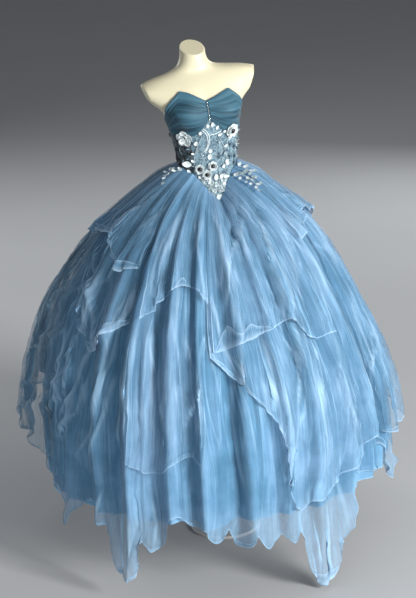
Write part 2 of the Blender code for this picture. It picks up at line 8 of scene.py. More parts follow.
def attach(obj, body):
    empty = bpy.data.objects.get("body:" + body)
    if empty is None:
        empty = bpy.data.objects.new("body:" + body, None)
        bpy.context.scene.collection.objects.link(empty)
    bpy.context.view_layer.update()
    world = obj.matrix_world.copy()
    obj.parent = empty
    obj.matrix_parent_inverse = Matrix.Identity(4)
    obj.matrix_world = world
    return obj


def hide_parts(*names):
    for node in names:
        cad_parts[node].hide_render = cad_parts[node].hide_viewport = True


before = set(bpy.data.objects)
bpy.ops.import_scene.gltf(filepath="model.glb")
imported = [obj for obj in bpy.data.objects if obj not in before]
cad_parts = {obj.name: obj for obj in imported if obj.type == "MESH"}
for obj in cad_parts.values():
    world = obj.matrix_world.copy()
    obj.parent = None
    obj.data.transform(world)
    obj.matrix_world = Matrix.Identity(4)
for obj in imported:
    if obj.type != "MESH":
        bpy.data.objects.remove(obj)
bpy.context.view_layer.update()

scene = bpy.context.scene
scene.cycles.transparent_max_bounces = 48  # many layers of net lie over each other
scene.view_settings.view_transform = "Standard"
bpy.ops.object.select_all(action="DESELECT")
print("frame loaded:", len(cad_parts), "solids")


# camera, light and floor

cameraSet = {
    "aim": (-0.022, 0.006, 0.968),
    "turn": -15.0,       # degrees round the gown from its front
    "pitch": 18.0,
    "distance": 6.94,
    "roll": -3.0,
    "lens": 106.98,
}
lightSet = {
    # name: (place, aim, width, height, watts, colour)
    "keyRight": ((3.4, -5.9, 2.7), (0.0, 0.0, 0.80), 1.8, 2.4, 830.0, (1.00, 0.99, 0.97)),
    "fillLeft": ((-3.6, -4.4, 0.9), (-0.2, 0.0, 0.35), 2.0, 1.4, 62.0, (0.90, 0.95, 1.00)),
    "rimBack": ((3.4, 4.8, 2.6), (0.0, 0.0, 0.9), 2.2, 2.2, 80.0, (0.96, 0.98, 1.00)),
    "top": ((0.9, -1.2, 4.6), (0.0, 0.0, 1.0), 1.8, 1.8, 14.0, (1.00, 1.00, 1.00)),
    "backLamp": ((-3.0, 5.6, 3.0), (0.0, 0.0, 0.8), 2.6, 2.6, 130.0, (0.97, 0.98, 1.00)),
}
floorSet = {
    "flatRadius": 22.0,
    "bendRadius": 4.0,
    "wallHeight": 9.0,
    "shade": ((0.44, 0.45, 0.46, 1), (0.47, 0.48, 0.49, 1)),
    "worldLight": 0.17,
    "worldShade": (0.86, 0.90, 0.96, 1.0),
}


def aimAt(place, aim):
    return (Vector(aim) - Vector(place)).to_track_quat("-Z", "Y")


def makeCamera():
    turn, pitch = math.radians(cameraSet["turn"]), math.radians(cameraSet["pitch"])
    back = Vector((math.sin(turn) * math.cos(pitch), -math.cos(turn) * math.cos(pitch), math.sin(pitch)))
    place = Vector(cameraSet["aim"]) + back * cameraSet["distance"]
    data = bpy.data.cameras.new("camera")
    data.lens = cameraSet["lens"]
    camera = bpy.data.objects.new("camera", data)
    scene.collection.objects.link(camera)
    camera.location = place
    camera.rotation_mode = "QUATERNION"
    rollTurn = Matrix.Rotation(math.radians(cameraSet["roll"]), 3, "Z").to_quaternion()
    camera.rotation_quaternion = aimAt(place, cameraSet["aim"]) @ rollTurn
    scene.camera = camera


def makeLights():
    for name, (place, aim, width, height, watts, colour) in lightSet.items():
        data = bpy.data.lights.new(name, "AREA")
        data.shape, data.size, data.size_y = "RECTANGLE", width, height
        data.energy, data.color = watts, colour
        lamp = bpy.data.objects.new(name, data)
        scene.collection.objects.link(lamp)
        lamp.location = place
        lamp.rotation_mode = "QUATERNION"
        lamp.rotation_quaternion = aimAt(place, aim)
    world = bpy.data.worlds.new("studio")
    scene.world = world
    world.use_nodes = True
    sky = world.node_tree.nodes["Background"]
    sky.inputs["Color"].default_value = floorSet["worldShade"]
    sky.inputs["Strength"].default_value = floorSet["worldLight"]


makeCamera()
makeLights()
print("camera and lights placed")


# small helpers

def smoothRead(table, column, at):
    # a smooth curve through the table's rows
    xs = np.array([row[0] for row in table], float)
    ys = np.array([row[column] for row in table], float)
    slopes = np.gradient(ys, xs)
    at = np.clip(at, xs[0], xs[-1])
    low = np.clip(np.searchsorted(xs, at) - 1, 0, len(xs) - 2)
    step = xs[low + 1] - xs[low]
    t = (at - xs[low]) / step
    return ((2 * t**3 - 3 * t**2 + 1) * ys[low] + (t**3 - 2 * t**2 + t) * step * slopes[low]
            + (3 * t**2 - 2 * t**3) * ys[low + 1] + (t**3 - t**2) * step * slopes[low + 1])


def straightRead(table, column, at):
    return np.interp(at, [row[0] for row in table], [row[column] for row in table])


def ease(share):
    share = np.clip(share, 0.0, 1.0)
    return share * share * (3.0 - 2.0 * share)


def halfTurn(angle):
    return (angle + 180.0) % 360.0 - 180.0


def outDirection(angle):
    turn = np.radians(angle)
    return np.stack([np.sin(turn), -np.cos(turn), np.zeros_like(turn)], axis=-1)


noiseRows = 48


def clothNoise(angle, drop, cell, length, seed):
    # smooth noise from -1 to 1 that closes round the skirt; a cell is in degrees across and metres along
    cells = int(round(360.0 / cell))
    table = np.random.default_rng(seed).uniform(-1.0, 1.0, (cells, noiseRows))
    across, along = np.asarray(angle) / 360.0 * cells, np.asarray(drop) / length
    i, j = np.floor(across).astype(int), np.floor(along).astype(int)
    u, v = ease(across - i), ease(along - j)
    left, right = i % cells, (i + 1) % cells
    near, far = (table[left, row % noiseRows] * (1 - u) + table[right, row % noiseRows] * u for row in (j, j + 1))
    return near * (1 - v) + far * v


def noiseSum(angle, drop, seed, *layers):
    # layers of noise, each a weight, a cell and a length, with one seed after another
    return sum(weight * clothNoise(angle, drop, cell, length, seed + number)
               for number, (weight, cell, length) in enumerate(layers))


def unit(vectors):
    return vectors / np.maximum(np.linalg.norm(vectors, axis=-1, keepdims=True), 1e-12)


def gridSheet(name, points, uv, values, material):
    # a sheet of cloth from rows and columns of points, with a value for each point under each name
    rows, columns = points.shape[:2]
    place = np.arange(rows * columns).reshape(rows, columns)
    quads = np.stack([place[:-1, :-1], place[1:, :-1], place[1:, 1:], place[:-1, 1:]], axis=-1).reshape(-1, 4)
    mesh = bpy.data.meshes.new(name)
    mesh.vertices.add(rows * columns)
    mesh.vertices.foreach_set("co", points.reshape(-1).astype(np.float32))
    mesh.loops.add(quads.size)
    mesh.loops.foreach_set("vertex_index", quads.reshape(-1).astype(np.int32))
    mesh.polygons.add(len(quads))
    mesh.polygons.foreach_set("loop_start", np.arange(0, quads.size, 4, dtype=np.int32))
    mesh.update(calc_edges=True)
    layer = mesh.uv_layers.new(name="cloth")
    layer.data.foreach_set("uv", uv.reshape(-1, 2)[quads.reshape(-1)].reshape(-1).astype(np.float32))
    for label, numbers in values.items():
        attribute = mesh.attributes.new(label, "FLOAT", "POINT")
        attribute.data.foreach_set("value", numbers.reshape(-1).astype(np.float32))
    mesh.materials.append(material)
    mesh.shade_smooth()
    mesh.validate()
    piece = bpy.data.objects.new(name, mesh)
    scene.collection.objects.link(piece)
    return piece


def nodeOf(name):
    # the solid that a piece stands for, as bustDrapeLeft for bust_drape_left
    plain = "".join("_" + letter.lower() if letter.isupper() else letter for letter in name)
    return plain.replace("sprig_", "leaves_").replace("points_", "tulle_points_")


def takePlace(piece, slot, *nodes):
    # the piece goes with the frame, in the place of its solids
    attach(piece, "root")
    if nodes:
        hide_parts(*nodes)


def surfaceArea(points):
    across = points[:, 1:] - points[:, :-1]
    down = points[1:] - points[:-1]
    first = np.linalg.norm(np.cross(across[:-1], down[:, :-1]), axis=-1)
    second = np.linalg.norm(np.cross(across[1:], down[:, 1:]), axis=-1)
    return float((first.sum() + second.sum()) / 2.0)


# materials

def fill(tree, socket, value):
    # a socket takes a number or a colour, or a link from another node
    if isinstance(value, (int, float, tuple)):
        socket.default_value = value
    elif value is not None:
        tree.links.new(value, socket)


def addNode(tree, kind, **inputs):
    node = tree.nodes.new("ShaderNode" + kind)
    for label, value in inputs.items():
        fill(tree, node.inputs[label], value)
    return node


def mathNode(tree, operation, first, second=None, clamp=False):
    node = addNode(tree, "Math")
    node.operation, node.use_clamp = operation, clamp
    for socket, value in zip(node.inputs, (first, second)):
        fill(tree, socket, value)
    return node.outputs["Value"]


def plus(tree, first, second, clamp=False):
    return mathNode(tree, "ADD", first, second, clamp)


def minus(tree, first, second, clamp=False):
    return mathNode(tree, "SUBTRACT", first, second, clamp)


def times(tree, first, second, clamp=False):
    return mathNode(tree, "MULTIPLY", first, second, clamp)


def weighted(tree, start, *parts, clamp=False):
    # start plus each value times its weight
    total = start
    for number, (value, weight) in enumerate(parts, 1):
        total = plus(tree, total, times(tree, value, weight), clamp and number == len(parts))
    return total


def mixColour(tree, share, first, second):
    node = addNode(tree, "Mix")
    node.data_type = "RGBA"
    for socket, value in zip([socket for socket in node.inputs if socket.enabled], (share, first, second)):
        fill(tree, socket, value)
    return [socket for socket in node.outputs if socket.enabled][0]


def borderCells(tree, vector, scale):
    # the distance to the nearest border between cells
    node = addNode(tree, "TexVoronoi")
    node.feature = "DISTANCE_TO_EDGE"
    fill(tree, node.inputs["Vector"], vector)
    fill(tree, node.inputs["Scale"], scale)
    return node.outputs["Distance"]


def addBump(tree, shader, height, strength, distance):
    bump = addNode(tree, "Bump", Strength=strength, Distance=distance, Height=height)
    tree.links.new(bump.outputs[0], shader.inputs["Normal"])


def clothMap(tree):
    node = addNode(tree, "UVMap")
    node.uv_map = "cloth"
    return node.outputs[0]


def readAttribute(tree, label):
    node = addNode(tree, "Attribute")
    node.attribute_name = label
    return node.outputs["Fac"]


def placeGroup(tree, group, **values):
    node = addNode(tree, "Group")
    node.node_tree = group
    for label, value in values.items():
        fill(tree, node.inputs[label], value)
    return node.outputs[0]


def startMaterial(name, roughness, **sockets):
    material = bpy.data.materials.new(name)
    material.use_nodes = True
    tree = material.node_tree
    shader = tree.nodes["Principled BSDF"]
    shader.inputs["Roughness"].default_value = roughness
    for label, value in sockets.items():
        shader.inputs[label.replace("_", " ")].default_value = value
    return material, tree, shader


def newGroup(name, output, **inputs):
    # a shader group that reads the cloth's map and the numbers given, and puts out one value
    group = bpy.data.node_groups.new(name, "ShaderNodeTree")
    group.interface.new_socket(name="UV", in_out="INPUT", socket_type="NodeSocketVector")
    for label, start in inputs.items():
        socket = group.interface.new_socket(name=label, in_out="INPUT", socket_type="NodeSocketFloat")
        socket.default_value = start
    group.interface.new_socket(name=output, in_out="OUTPUT", socket_type="NodeSocketFloat")
    return group, group.nodes.new("NodeGroupInput").outputs, group.nodes.new("NodeGroupOutput").inputs[output]


def drawnNoise(group, given, across, shift, detail):
    # noise drawn out along the cloth: u goes across the gathers, v along them
    split = addNode(group, "SeparateXYZ", Vector=given["UV"])
    join = addNode(group, "CombineXYZ", X=times(group, split.outputs[0], across),
                   Y=times(group, split.outputs[1], given["Along"]), Z=shift)
    return addNode(group, "TexNoise", Vector=join.outputs[0], Scale=1.0, Detail=detail).outputs[0]


def makeStreakGroup():
    # fine gathers that run down the cloth
    group, given, result = newGroup("gatherStreaks", "Streak", Across=60.0, Along=1.6, Contrast=1.0)
    layers = ((1.0, 0.36, 0.0), (2.6, 0.36, 5.3), (5.7, 0.28, 9.1))  # closeness, weight, shift
    parts = [(drawnNoise(group, given, times(group, given["Across"], close), shift, 1.0), weight)
             for close, weight, shift in layers]
    scaled = times(group, weighted(group, -0.5, *parts), given["Contrast"])
    group.links.new(plus(group, scaled, 0.5, True), result)
    return group


def makeNetGroup():
    # the net's small round holes
    group, given, result = newGroup("netHoles", "Thread", Holes=380.0)
    edge = times(group, borderCells(group, given["UV"], given["Holes"]), 5.0, True)
    group.links.new(minus(group, 1.0, edge, True), result)
    return group


def makeLineGroup():
    # fine wandering lines down the cloth, where thin folds of net lie double
    group, given, result = newGroup("foldLines", "Line", Along=1.3)
    parts = []
    for across, sharpness, weight, shift in ((13.0, 42.0, 0.62, 2.0), (31.0, 26.0, 0.38, 7.0)):
        off = mathNode(group, "ABSOLUTE", minus(group, drawnNoise(group, given, across, shift, 1.5), 0.5))
        parts.append((minus(group, 1.0, times(group, off, sharpness), True), weight))
    group.links.new(weighted(group, 0.0, *parts), result)
    return group


streakGroup = makeStreakGroup()
lineGroup = makeLineGroup()
netGroup = makeNetGroup()

tulleLook = {
    "streaks": {"Across": 46.0, "Along": 1.8, "Contrast": 2.6},
    "haze": {"Scale": 15.0, "Detail": 5.0, "Roughness": 0.60, "Distortion": 0.4},
    "lowFrom": 0.72,        # metres under the waist where streaks begin to fade
    "hemFrom": 1.10,        # and where the loose net below the lining begins
    "hemTone": (0.34, 0.46, 0.58, 1),
}
netHoles = 420.0            # holes in a metre of net


def tulleMaterial(name, deep, middle, bright, edge, cover):
    # the colour with painted shade deep in a fold, on its side, with painted light on its ridge, along a raw edge, and
    # how much one layer of net covers
    material, tree, shader = startMaterial(name, 0.85, Sheen_Weight=0.2, Sheen_Roughness=0.45, Specular_IOR_Level=0.1)
    uv = clothMap(tree)
    down = addNode(tree, "SeparateXYZ", Vector=uv).outputs[1]
    paintedFoldShade, mottleAndPaintedShade, hem = (readAttribute(tree, label) for label in ("paintedFoldShade", "mottleAndPaintedShade", "hem"))
    steep, whole = (readAttribute(tree, label) for label in ("steep", "whole"))
    thread = placeGroup(tree, netGroup, UV=uv, Holes=netHoles)
    haze = addNode(tree, "TexNoise", Vector=addNode(tree, "TexCoord").outputs["Object"], **tulleLook["haze"]).outputs[0]
    lowPart = times(tree, minus(tree, down, tulleLook["lowFrom"]), 2.4, True)
    fade = weighted(tree, 1.0, (lowPart, -0.62))
    streak = placeGroup(tree, streakGroup, UV=uv, **tulleLook["streaks"])
    centred = minus(tree, streak, 0.5)
    line = times(tree, placeGroup(tree, lineGroup, UV=uv), fade)

    # colour: painted fold shading, 0 is painted shade deep in a fold, 0.5 its side and 1 painted light on its ridge;
    # the painted shade patches come in too
    tone = weighted(tree, 0.265, (paintedFoldShade, 0.36), (centred, times(tree, fade, 0.14)), (mottleAndPaintedShade, 0.20),
                    (minus(tree, haze, 0.5), weighted(tree, 0.28, (lowPart, 0.26))), (line, 0.20), clamp=True)
    lower = mixColour(tree, times(tree, tone, 2.0, True), deep, middle)
    colour = mixColour(tree, weighted(tree, -1.0, (tone, 2.0), clamp=True), lower, bright)
    low = times(tree, minus(tree, down, tulleLook["hemFrom"]), 2.8, True)
    colour = mixColour(tree, times(tree, low, 0.50), colour, tulleLook["hemTone"])
    pale = weighted(tree, 0.0, (hem, 0.62), (line, 0.22), clamp=True)
    tree.links.new(mixColour(tree, pale, colour, edge), shader.inputs["Base Color"])

    # cover: net seen along the side of a fold lies closer
    net = weighted(tree, cover, (centred, 0.30), (minus(tree, mottleAndPaintedShade, 0.5), 0.22), (line, 0.16), (thread, 0.05),
                   clamp=True)
    clear = mathNode(tree, "POWER", minus(tree, 1.0, net, True), steep)
    closed = times(tree, minus(tree, 1.0, clear, True), whole)
    tree.links.new(weighted(tree, closed, (hem, 0.30), clamp=True), shader.inputs["Alpha"])
    addBump(tree, shader, weighted(tree, 0.0, (streak, 0.7), (haze, 0.5)), 0.5, 0.0035)
    return material


def noisyMaterial(name, first, second, scale, roughness, grainScale, strength, distance, detail=4.0, **sockets):
    # two close colours in soft patches, with a fine grain in the surface
    material, tree, shader = startMaterial(name, roughness, **sockets)
    place = addNode(tree, "TexCoord").outputs["Object"]
    patches = addNode(tree, "TexNoise", Vector=place, Scale=scale, Detail=detail)
    tree.links.new(mixColour(tree, patches.outputs[0], first, second), shader.inputs["Base Color"])
    addBump(tree, shader, addNode(tree, "TexNoise", Vector=place, Scale=grainScale).outputs[0], strength, distance)
    return material


def plainMaterial(name, first, second, scale, roughness, strength, **sockets):
    return noisyMaterial(name, first, second, scale, roughness, scale * 40.0, strength, 0.001, **sockets)


tulleColours = {
    # deep fold with painted shade, side of a fold, ridge with painted light, raw edge, cover of one layer
    "liningNet": ((0.014, 0.052, 0.098, 1), (0.080, 0.225, 0.370, 1), (0.225, 0.430, 0.670, 1),
                  (0.34, 0.54, 0.74, 1), 0.97),
    "pointNet": ((0.016, 0.062, 0.112, 1), (0.110, 0.265, 0.425, 1), (0.285, 0.500, 0.745, 1),
                 (0.43, 0.62, 0.80, 1), 0.50),
    "drapeNet": ((0.020, 0.074, 0.126, 1), (0.145, 0.310, 0.480, 1), (0.370, 0.585, 0.840, 1),
                 (0.52, 0.69, 0.87, 1), 0.38),
    "sheerNet": ((0.026, 0.075, 0.115, 1), (0.138, 0.275, 0.395, 1), (0.330, 0.500, 0.670, 1),
                 (0.45, 0.61, 0.75, 1), 0.30),
}
tulle = {name: tulleMaterial(name, *row) for name, row in tulleColours.items()}
formCream = plainMaterial("formCream", (0.56, 0.52, 0.365, 1), (0.62, 0.58, 0.415, 1), 3.0, 0.45, 0.05)
standPaint = plainMaterial("standPaint", (0.44, 0.44, 0.43, 1), (0.49, 0.49, 0.48, 1), 9.0, 0.45, 0.08)
floorPaint = plainMaterial("floorPaint", *floorSet["shade"], 1.5, 0.85, 0.02)
print("materials ready")


def makeStage():
    # one seamless round backdrop: a flat disc that turns up into a wall
    flat, bend = floorSet["flatRadius"], floorSet["bendRadius"]
    bpy.ops.mesh.primitive_circle_add(vertices=96, radius=flat, fill_type="TRIFAN", location=(0.0, 0.0, 0.0))
    floor = bpy.context.object
    floor.name = "floor"
    bpy.ops.object.mode_set(mode="EDIT")
    bpy.ops.mesh.select_all(action="SELECT")
    bpy.ops.mesh.region_to_loop()
    reach, rise = flat, 0.0
    for step in range(1, 11):
        turn = math.radians(9.0 * step)
        newReach, newRise = flat + bend * math.sin(turn), bend * (1.0 - math.cos(turn))
        if step == 10:
            newRise = floorSet["wallHeight"]
        bpy.ops.mesh.extrude_region_move(TRANSFORM_OT_translate={"value": (0.0, 0.0, newRise - rise)})
        bpy.ops.transform.resize(value=(newReach / reach, newReach / reach, 1.0), center_override=(0.0, 0.0, newRise))
        reach, rise = newReach, newRise
    bpy.ops.object.mode_set(mode="OBJECT")
    bpy.ops.object.shade_smooth()
    floor.data.materials.append(floorPaint)
    bpy.ops.object.select_all(action="DESELECT")


makeStage()


formCuts = {
    # how far the torso's flat ends tilt, in degrees: the arms' ends downwards, the neck's forwards
    "armTilt": 22.0,
    "neckTilt": 24.0,
    "mergeReach": 0.006,      # rim points closer than this become one
    "rim": 0.0025,
}
formSmooth = {"weld": 0.00005, "quadAngle": 1.2, "levels": 2}


def flatEnd(torso, direction):
    # one clean face for a flat end, with a narrow band inside its rim that keeps the rim crisp
    bpy.ops.object.mode_set(mode="OBJECT")
    for polygon in torso.data.polygons:
        polygon.select = polygon.normal.dot(direction) > 0.9995
    bpy.ops.object.mode_set(mode="EDIT")
    bpy.ops.mesh.dissolve_faces()
    bpy.ops.mesh.select_mode(type="VERT")
    bpy.ops.mesh.remove_doubles(threshold=formCuts["mergeReach"])
    bpy.ops.mesh.select_mode(type="FACE")
    bpy.ops.object.mode_set(mode="OBJECT")
    for polygon in torso.data.polygons:
        polygon.select = polygon.normal.dot(direction) > 0.995 and len(polygon.vertices) > 8
    bpy.ops.object.mode_set(mode="EDIT")
    bpy.ops.mesh.inset(thickness=formCuts["rim"], depth=0.0)
    bpy.ops.mesh.inset(thickness=4.0 * formCuts["rim"], depth=0.0)


def smoothForm():
    # the torso again with rounder sides
    torso = bpy.data.objects.new("formTorso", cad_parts["form_torso"].data.copy())
    scene.collection.objects.link(torso)
    bpy.context.view_layer.objects.active = torso
    torso.select_set(True)
    bpy.ops.object.mode_set(mode="EDIT")
    bpy.ops.mesh.select_all(action="SELECT")
    bpy.ops.mesh.remove_doubles(threshold=formSmooth["weld"])
    bpy.ops.mesh.tris_convert_to_quads(face_threshold=formSmooth["quadAngle"], shape_threshold=formSmooth["quadAngle"])
    bpy.ops.mesh.normals_make_consistent(inside=False)
    bpy.ops.mesh.select_mode(type="FACE")
    armTilt, neckTilt = math.radians(formCuts["armTilt"]), math.radians(formCuts["neckTilt"])
    for side in (1.0, -1.0):
        flatEnd(torso, Vector((side * math.cos(armTilt), 0.0, -math.sin(armTilt))))
    flatEnd(torso, Vector((0.0, -math.sin(neckTilt), math.cos(neckTilt))))
    bpy.ops.object.mode_set(mode="OBJECT")
    rounder = torso.modifiers.new("rounder", "SUBSURF")
    rounder.levels = rounder.render_levels = formSmooth["levels"]
    bpy.ops.object.modifier_apply(modifier="rounder")
    bpy.ops.object.shade_smooth()
    torso.data.materials.clear()
    torso.data.materials.append(formCream)
    torso.select_set(False)
    takePlace(torso, "form", "form_torso")


smoothForm()
for nodeName in ("stand_base", "stand_pole"):
    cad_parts[nodeName].data.materials.clear()
    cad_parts[nodeName].data.materials.append(standPaint)
print("floor, form and stand finished")


# the body under the bodice

bodyShape = {
    "waistHeight": 1.513,
    "clearance": 0.0025,
    "wall": 0.0020,
    "cup": (40.0, 25.0, 0.212, 0.052, 0.034),  # angle, spread, height, rise, depth
    "rows": (
        # height over the waist, half width, half depth, shift to +X, shift back, rise to +X
        (-0.300, 0.100, 0.072, 0.000, 0.000, 0.00), (-0.245, 0.162, 0.118, 0.000, 0.000, 0.00),
        (-0.200, 0.171, 0.125, 0.000, 0.000, 0.00), (-0.150, 0.164, 0.119, 0.000, 0.000, 0.00),
        (-0.100, 0.145, 0.107, 0.000, 0.000, 0.00), (-0.050, 0.121, 0.091, 0.000, 0.000, 0.00),
        (0.000, 0.1085, 0.083, 0.000, 0.000, 0.00), (0.060, 0.1140, 0.086, -0.001, 0.000, 0.00),
        (0.105, 0.1215, 0.090, -0.003, 0.001, 0.01), (0.135, 0.1280, 0.093, -0.004, 0.001, 0.01),
        (0.160, 0.1335, 0.095, -0.006, 0.002, 0.01), (0.182, 0.1385, 0.096, -0.008, 0.003, 0.02),
        (0.203, 0.1430, 0.097, -0.010, 0.004, 0.02), (0.226, 0.1560, 0.096, -0.012, 0.006, 0.03),
        (0.250, 0.1840, 0.093, -0.014, 0.009, 0.04), (0.278, 0.2200, 0.087, -0.016, 0.013, 0.05),
        (0.308, 0.2480, 0.077, -0.019, 0.018, 0.07), (0.332, 0.2420, 0.063, -0.021, 0.023, 0.09),
    ),
}


def bodyRadius(angle, height):
    halfWidth = straightRead(bodyShape["rows"], 1, height)
    halfDepth = straightRead(bodyShape["rows"], 2, height)
    turn = np.radians(angle)
    plain = 1.0 / np.hypot(np.sin(turn) / halfWidth, np.cos(turn) / halfDepth)
    cupAngle, spread, cupHeight, rise, depth = bodyShape["cup"]
    across = (np.abs(halfTurn(angle)) - cupAngle) / spread
    along = (height - cupHeight) / rise
    return plain + depth * np.exp(-across * across - along * along)


def bodyPoint(angle, height):
    angle, height = np.broadcast_arrays(np.asarray(angle, float), np.asarray(height, float))
    reach = outDirection(angle) * bodyRadius(angle, height)[..., None]
    rows = bodyShape["rows"]
    lift = reach[..., 0] * straightRead(rows, 5, height)
    return reach + np.stack([straightRead(rows, 3, height), straightRead(rows, 4, height),
                             bodyShape["waistHeight"] + height + lift], axis=-1)


def bodyNormal(angle, height):
    across = bodyPoint(angle + 1.5, height) - bodyPoint(angle - 1.5, height)
    upward = bodyPoint(angle, height + 0.012) - bodyPoint(angle, height - 0.012)
    return unit(np.cross(across, upward))


def bodicePoint(angle, height, out):
    angle, height = np.broadcast_arrays(np.asarray(angle, float), np.asarray(height, float))
    rise = np.asarray(out, float) + bodyShape["clearance"] + bodyShape["wall"]
    return bodyPoint(angle, height) + bodyNormal(angle, height) * np.broadcast_to(rise, angle.shape)[..., None]


# the ruched bust

bustSet = {
    "floor": ((0, 0.186), (8, 0.176), (22, 0.150), (38, 0.132), (56, 0.128), (74, 0.134), (92, 0.132)),
    # angle at the lower seam, angle at the top, height at the top
    "edge": ((3, 3, 0.258), (19, 17, 0.270), (41, 36, 0.288), (55, 50, 0.298), (74, 67, 0.244), (92, 84, 0.192)),
    "centre": 3.0,        # angle where a drape starts, at the band between the two
    "span": 89.0,
    "peakShift": {-1: 0.004, 1: -0.011},   # the bodice hangs a little level on the leaning form
    "bow": 0.050,         # how far the pleats bow upwards over the cup
    "lift": 0.0020,
    "pleatDepth": 0.0030,
    "topFold": 0.13,      # share of the height that the smooth folded edge takes
    "columns": 90,
    "rows": 150,
    "flat": (0.24, 0.22),
    "leastArea": 0.0159,
}


def bustMaterial():
    material, tree, shader = startMaterial("bustTulle", 0.62, Sheen_Weight=0.35, Sheen_Roughness=0.35,
                                           Specular_IOR_Level=0.3)
    uv = clothMap(tree)
    threads = placeGroup(tree, streakGroup, UV=uv, Across=420.0, Along=18.0, Contrast=1.6)
    patches = placeGroup(tree, streakGroup, UV=uv, Across=60.0, Along=9.0, Contrast=2.4)
    # tone from the painted pleat shading, darker in the pleats' valleys and paler on their crests, with threads and
    # patches
    tone = weighted(tree, -0.19, (readAttribute(tree, "paintedFoldShade"), 0.66), (threads, 0.22), (patches, 0.34), clamp=True)
    colour = mixColour(tree, tone, (0.006, 0.030, 0.050, 1), (0.058, 0.165, 0.232, 1))
    tree.links.new(colour, shader.inputs["Base Color"])
    addBump(tree, shader, threads, 0.3, 0.0012)
    return material


def makeBust(name, side, material):
    across = np.linspace(0.0, 1.0, bustSet["columns"])[None, :]
    down = np.linspace(0.0, 1.0, bustSet["rows"])[:, None]
    arch = np.sin(np.pi * across) * np.sin(np.pi * down)
    floorAngle = bustSet["centre"] + bustSet["span"] * across
    topAngle = straightRead(bustSet["edge"], 1, floorAngle)
    topHeight = straightRead(bustSet["edge"], 2, floorAngle)
    topHeight = topHeight + bustSet["peakShift"][side] * np.sin(np.pi * np.clip(across * 0.85, 0, 1))
    floorHeight = smoothRead(bustSet["floor"], 1, floorAngle)
    angle = side * (topAngle + (down + bustSet["bow"] * arch) * (floorAngle - topAngle))
    height = topHeight + down * (floorHeight - topHeight)

    # pleats gather towards the centre, under a smooth folded edge
    sag = 120.0 * (down + 0.09 * arch + 0.03 * np.sin(5.0 * across + side))
    seed = 60 + side
    layers = ((1.0, 10.0, 0.55), (0.7, 5.0, 0.40), (0.35, 2.5, 0.30))   # weight, cell, length
    pleats = sum(weight * clothNoise(sag, across, cell, length, seed + 3 * number)
                 for number, (weight, cell, length) in enumerate(layers))
    profile = np.clip(0.5 + 0.42 * pleats, 0, 1)
    swell = 0.55 + 0.45 * np.abs(np.cos(np.pi * across))
    flatTop = ease((down - bustSet["topFold"]) / 0.05)
    rolled = bustSet["lift"] * np.sin(np.pi * np.clip(down / bustSet["topFold"], 0, 1))
    tuck = ease(across / 0.02) * ease((1 - across) / 0.03) * ease((1 - down) / 0.03)
    out = bustSet["lift"] + (profile * bustSet["pleatDepth"] * swell * (0.15 + 0.85 * flatTop) + rolled) * tuck
    points = bodicePoint(angle, height, out)
    uv = np.stack([down + 0 * across, across + 0 * down], axis=-1) * 0.16
    # painted pleat shading: darker in the pleats' valleys, paler on their crests and on the folded top edge
    paintedFoldShade = np.clip(profile * flatTop + (1 - flatTop) * 0.75, 0, 1) + 0 * across
    piece = gridSheet(name, points[:, ::side], uv[:, ::side], {"paintedFoldShade": paintedFoldShade[:, ::side]}, material)
    takePlace(piece, "bust_tulle", nodeOf(name))


bustTulle = bustMaterial()
makeBust("bustDrapeLeft", -1, bustTulle)
makeBust("bustDrapeRight", 1, bustTulle)
print("bust ruched")


# the lace midriff and back

laceSet = {
    "waistDrop": ((-180, 0.000), (-72, 0.000), (-46, 0.020), (-20, 0.070), (4, 0.122), (26, 0.066), (48, 0.020),
                  (75, 0.000), (180, 0.000)),
    "backTop": ((92, 0.196), (130, 0.176), (180, 0.168)),
    "bandEnds": (0.258, 0.186),
    "bandPaintedFoldShade": 0.45,
    "rows": 60,
    "columnsPerDegree": 1.6,
    "flatReach": 0.13,      # the bodice's largest reach, that turns an angle into a width
    "panels": (
        # piece, first angle, last angle, what its top follows
        ("midriffFront", -46.0, 46.0, "bust"),
        ("midriffSideLeft", -92.0, -46.0, "bust"),
        ("midriffSideRight", 46.0, 92.0, "bust"),
        ("backRight", 92.0, 176.0, "back"),
        ("backLeft", 184.0, 268.0, "back"),
        ("backPlacket", 176.0, 184.0, "back"),
        ("bustCentreBand", -3.0, 3.0, "band"),
    ),
}


def seamDrop(angle):
    return straightRead(laceSet["waistDrop"], 1, halfTurn(angle))


def laceMaterial(name, strength):
    # strength makes the same lace paler or darker; a low strength makes a copy with painted shade
    material, tree, shader = startMaterial(name, 0.7, Sheen_Weight=0.2)

    def shade(*colour):
        return tuple(part * strength for part in colour) + (1,)

    uv = clothMap(tree)
    bend = addNode(tree, "TexNoise", Vector=uv, Scale=26.0).outputs["Color"]
    cells = borderCells(tree, mixColour(tree, 0.03, uv, bend), 55.0)
    vein = minus(tree, 1.0, times(tree, cells, 9.0, True), True)
    net = placeGroup(tree, netGroup, UV=uv, Holes=netHoles)
    patches = addNode(tree, "TexNoise", Vector=uv, Scale=34.0, Detail=3.0).outputs[0]
    motif = times(tree, minus(tree, patches, 0.50), 9.0, True)
    ground = mixColour(tree, net, shade(0.030, 0.070, 0.100), shade(0.110, 0.185, 0.235))
    leafy = mixColour(tree, motif, ground, shade(0.130, 0.225, 0.285))
    tree.links.new(mixColour(tree, vein, leafy, shade(0.210, 0.320, 0.380)), shader.inputs["Base Color"])
    addBump(tree, shader, weighted(tree, 0.0, (vein, 0.6), (motif, 0.4)), 0.7, 0.002)
    return material


def panelEnds(follows, angle):
    if follows == "band":
        return tuple(end + 0 * angle for end in laceSet["bandEnds"])
    if follows == "bust":
        return smoothRead(bustSet["floor"], 1, np.abs(angle)), -seamDrop(angle)
    return straightRead(laceSet["backTop"], 1, np.abs(angle)), -seamDrop(angle)


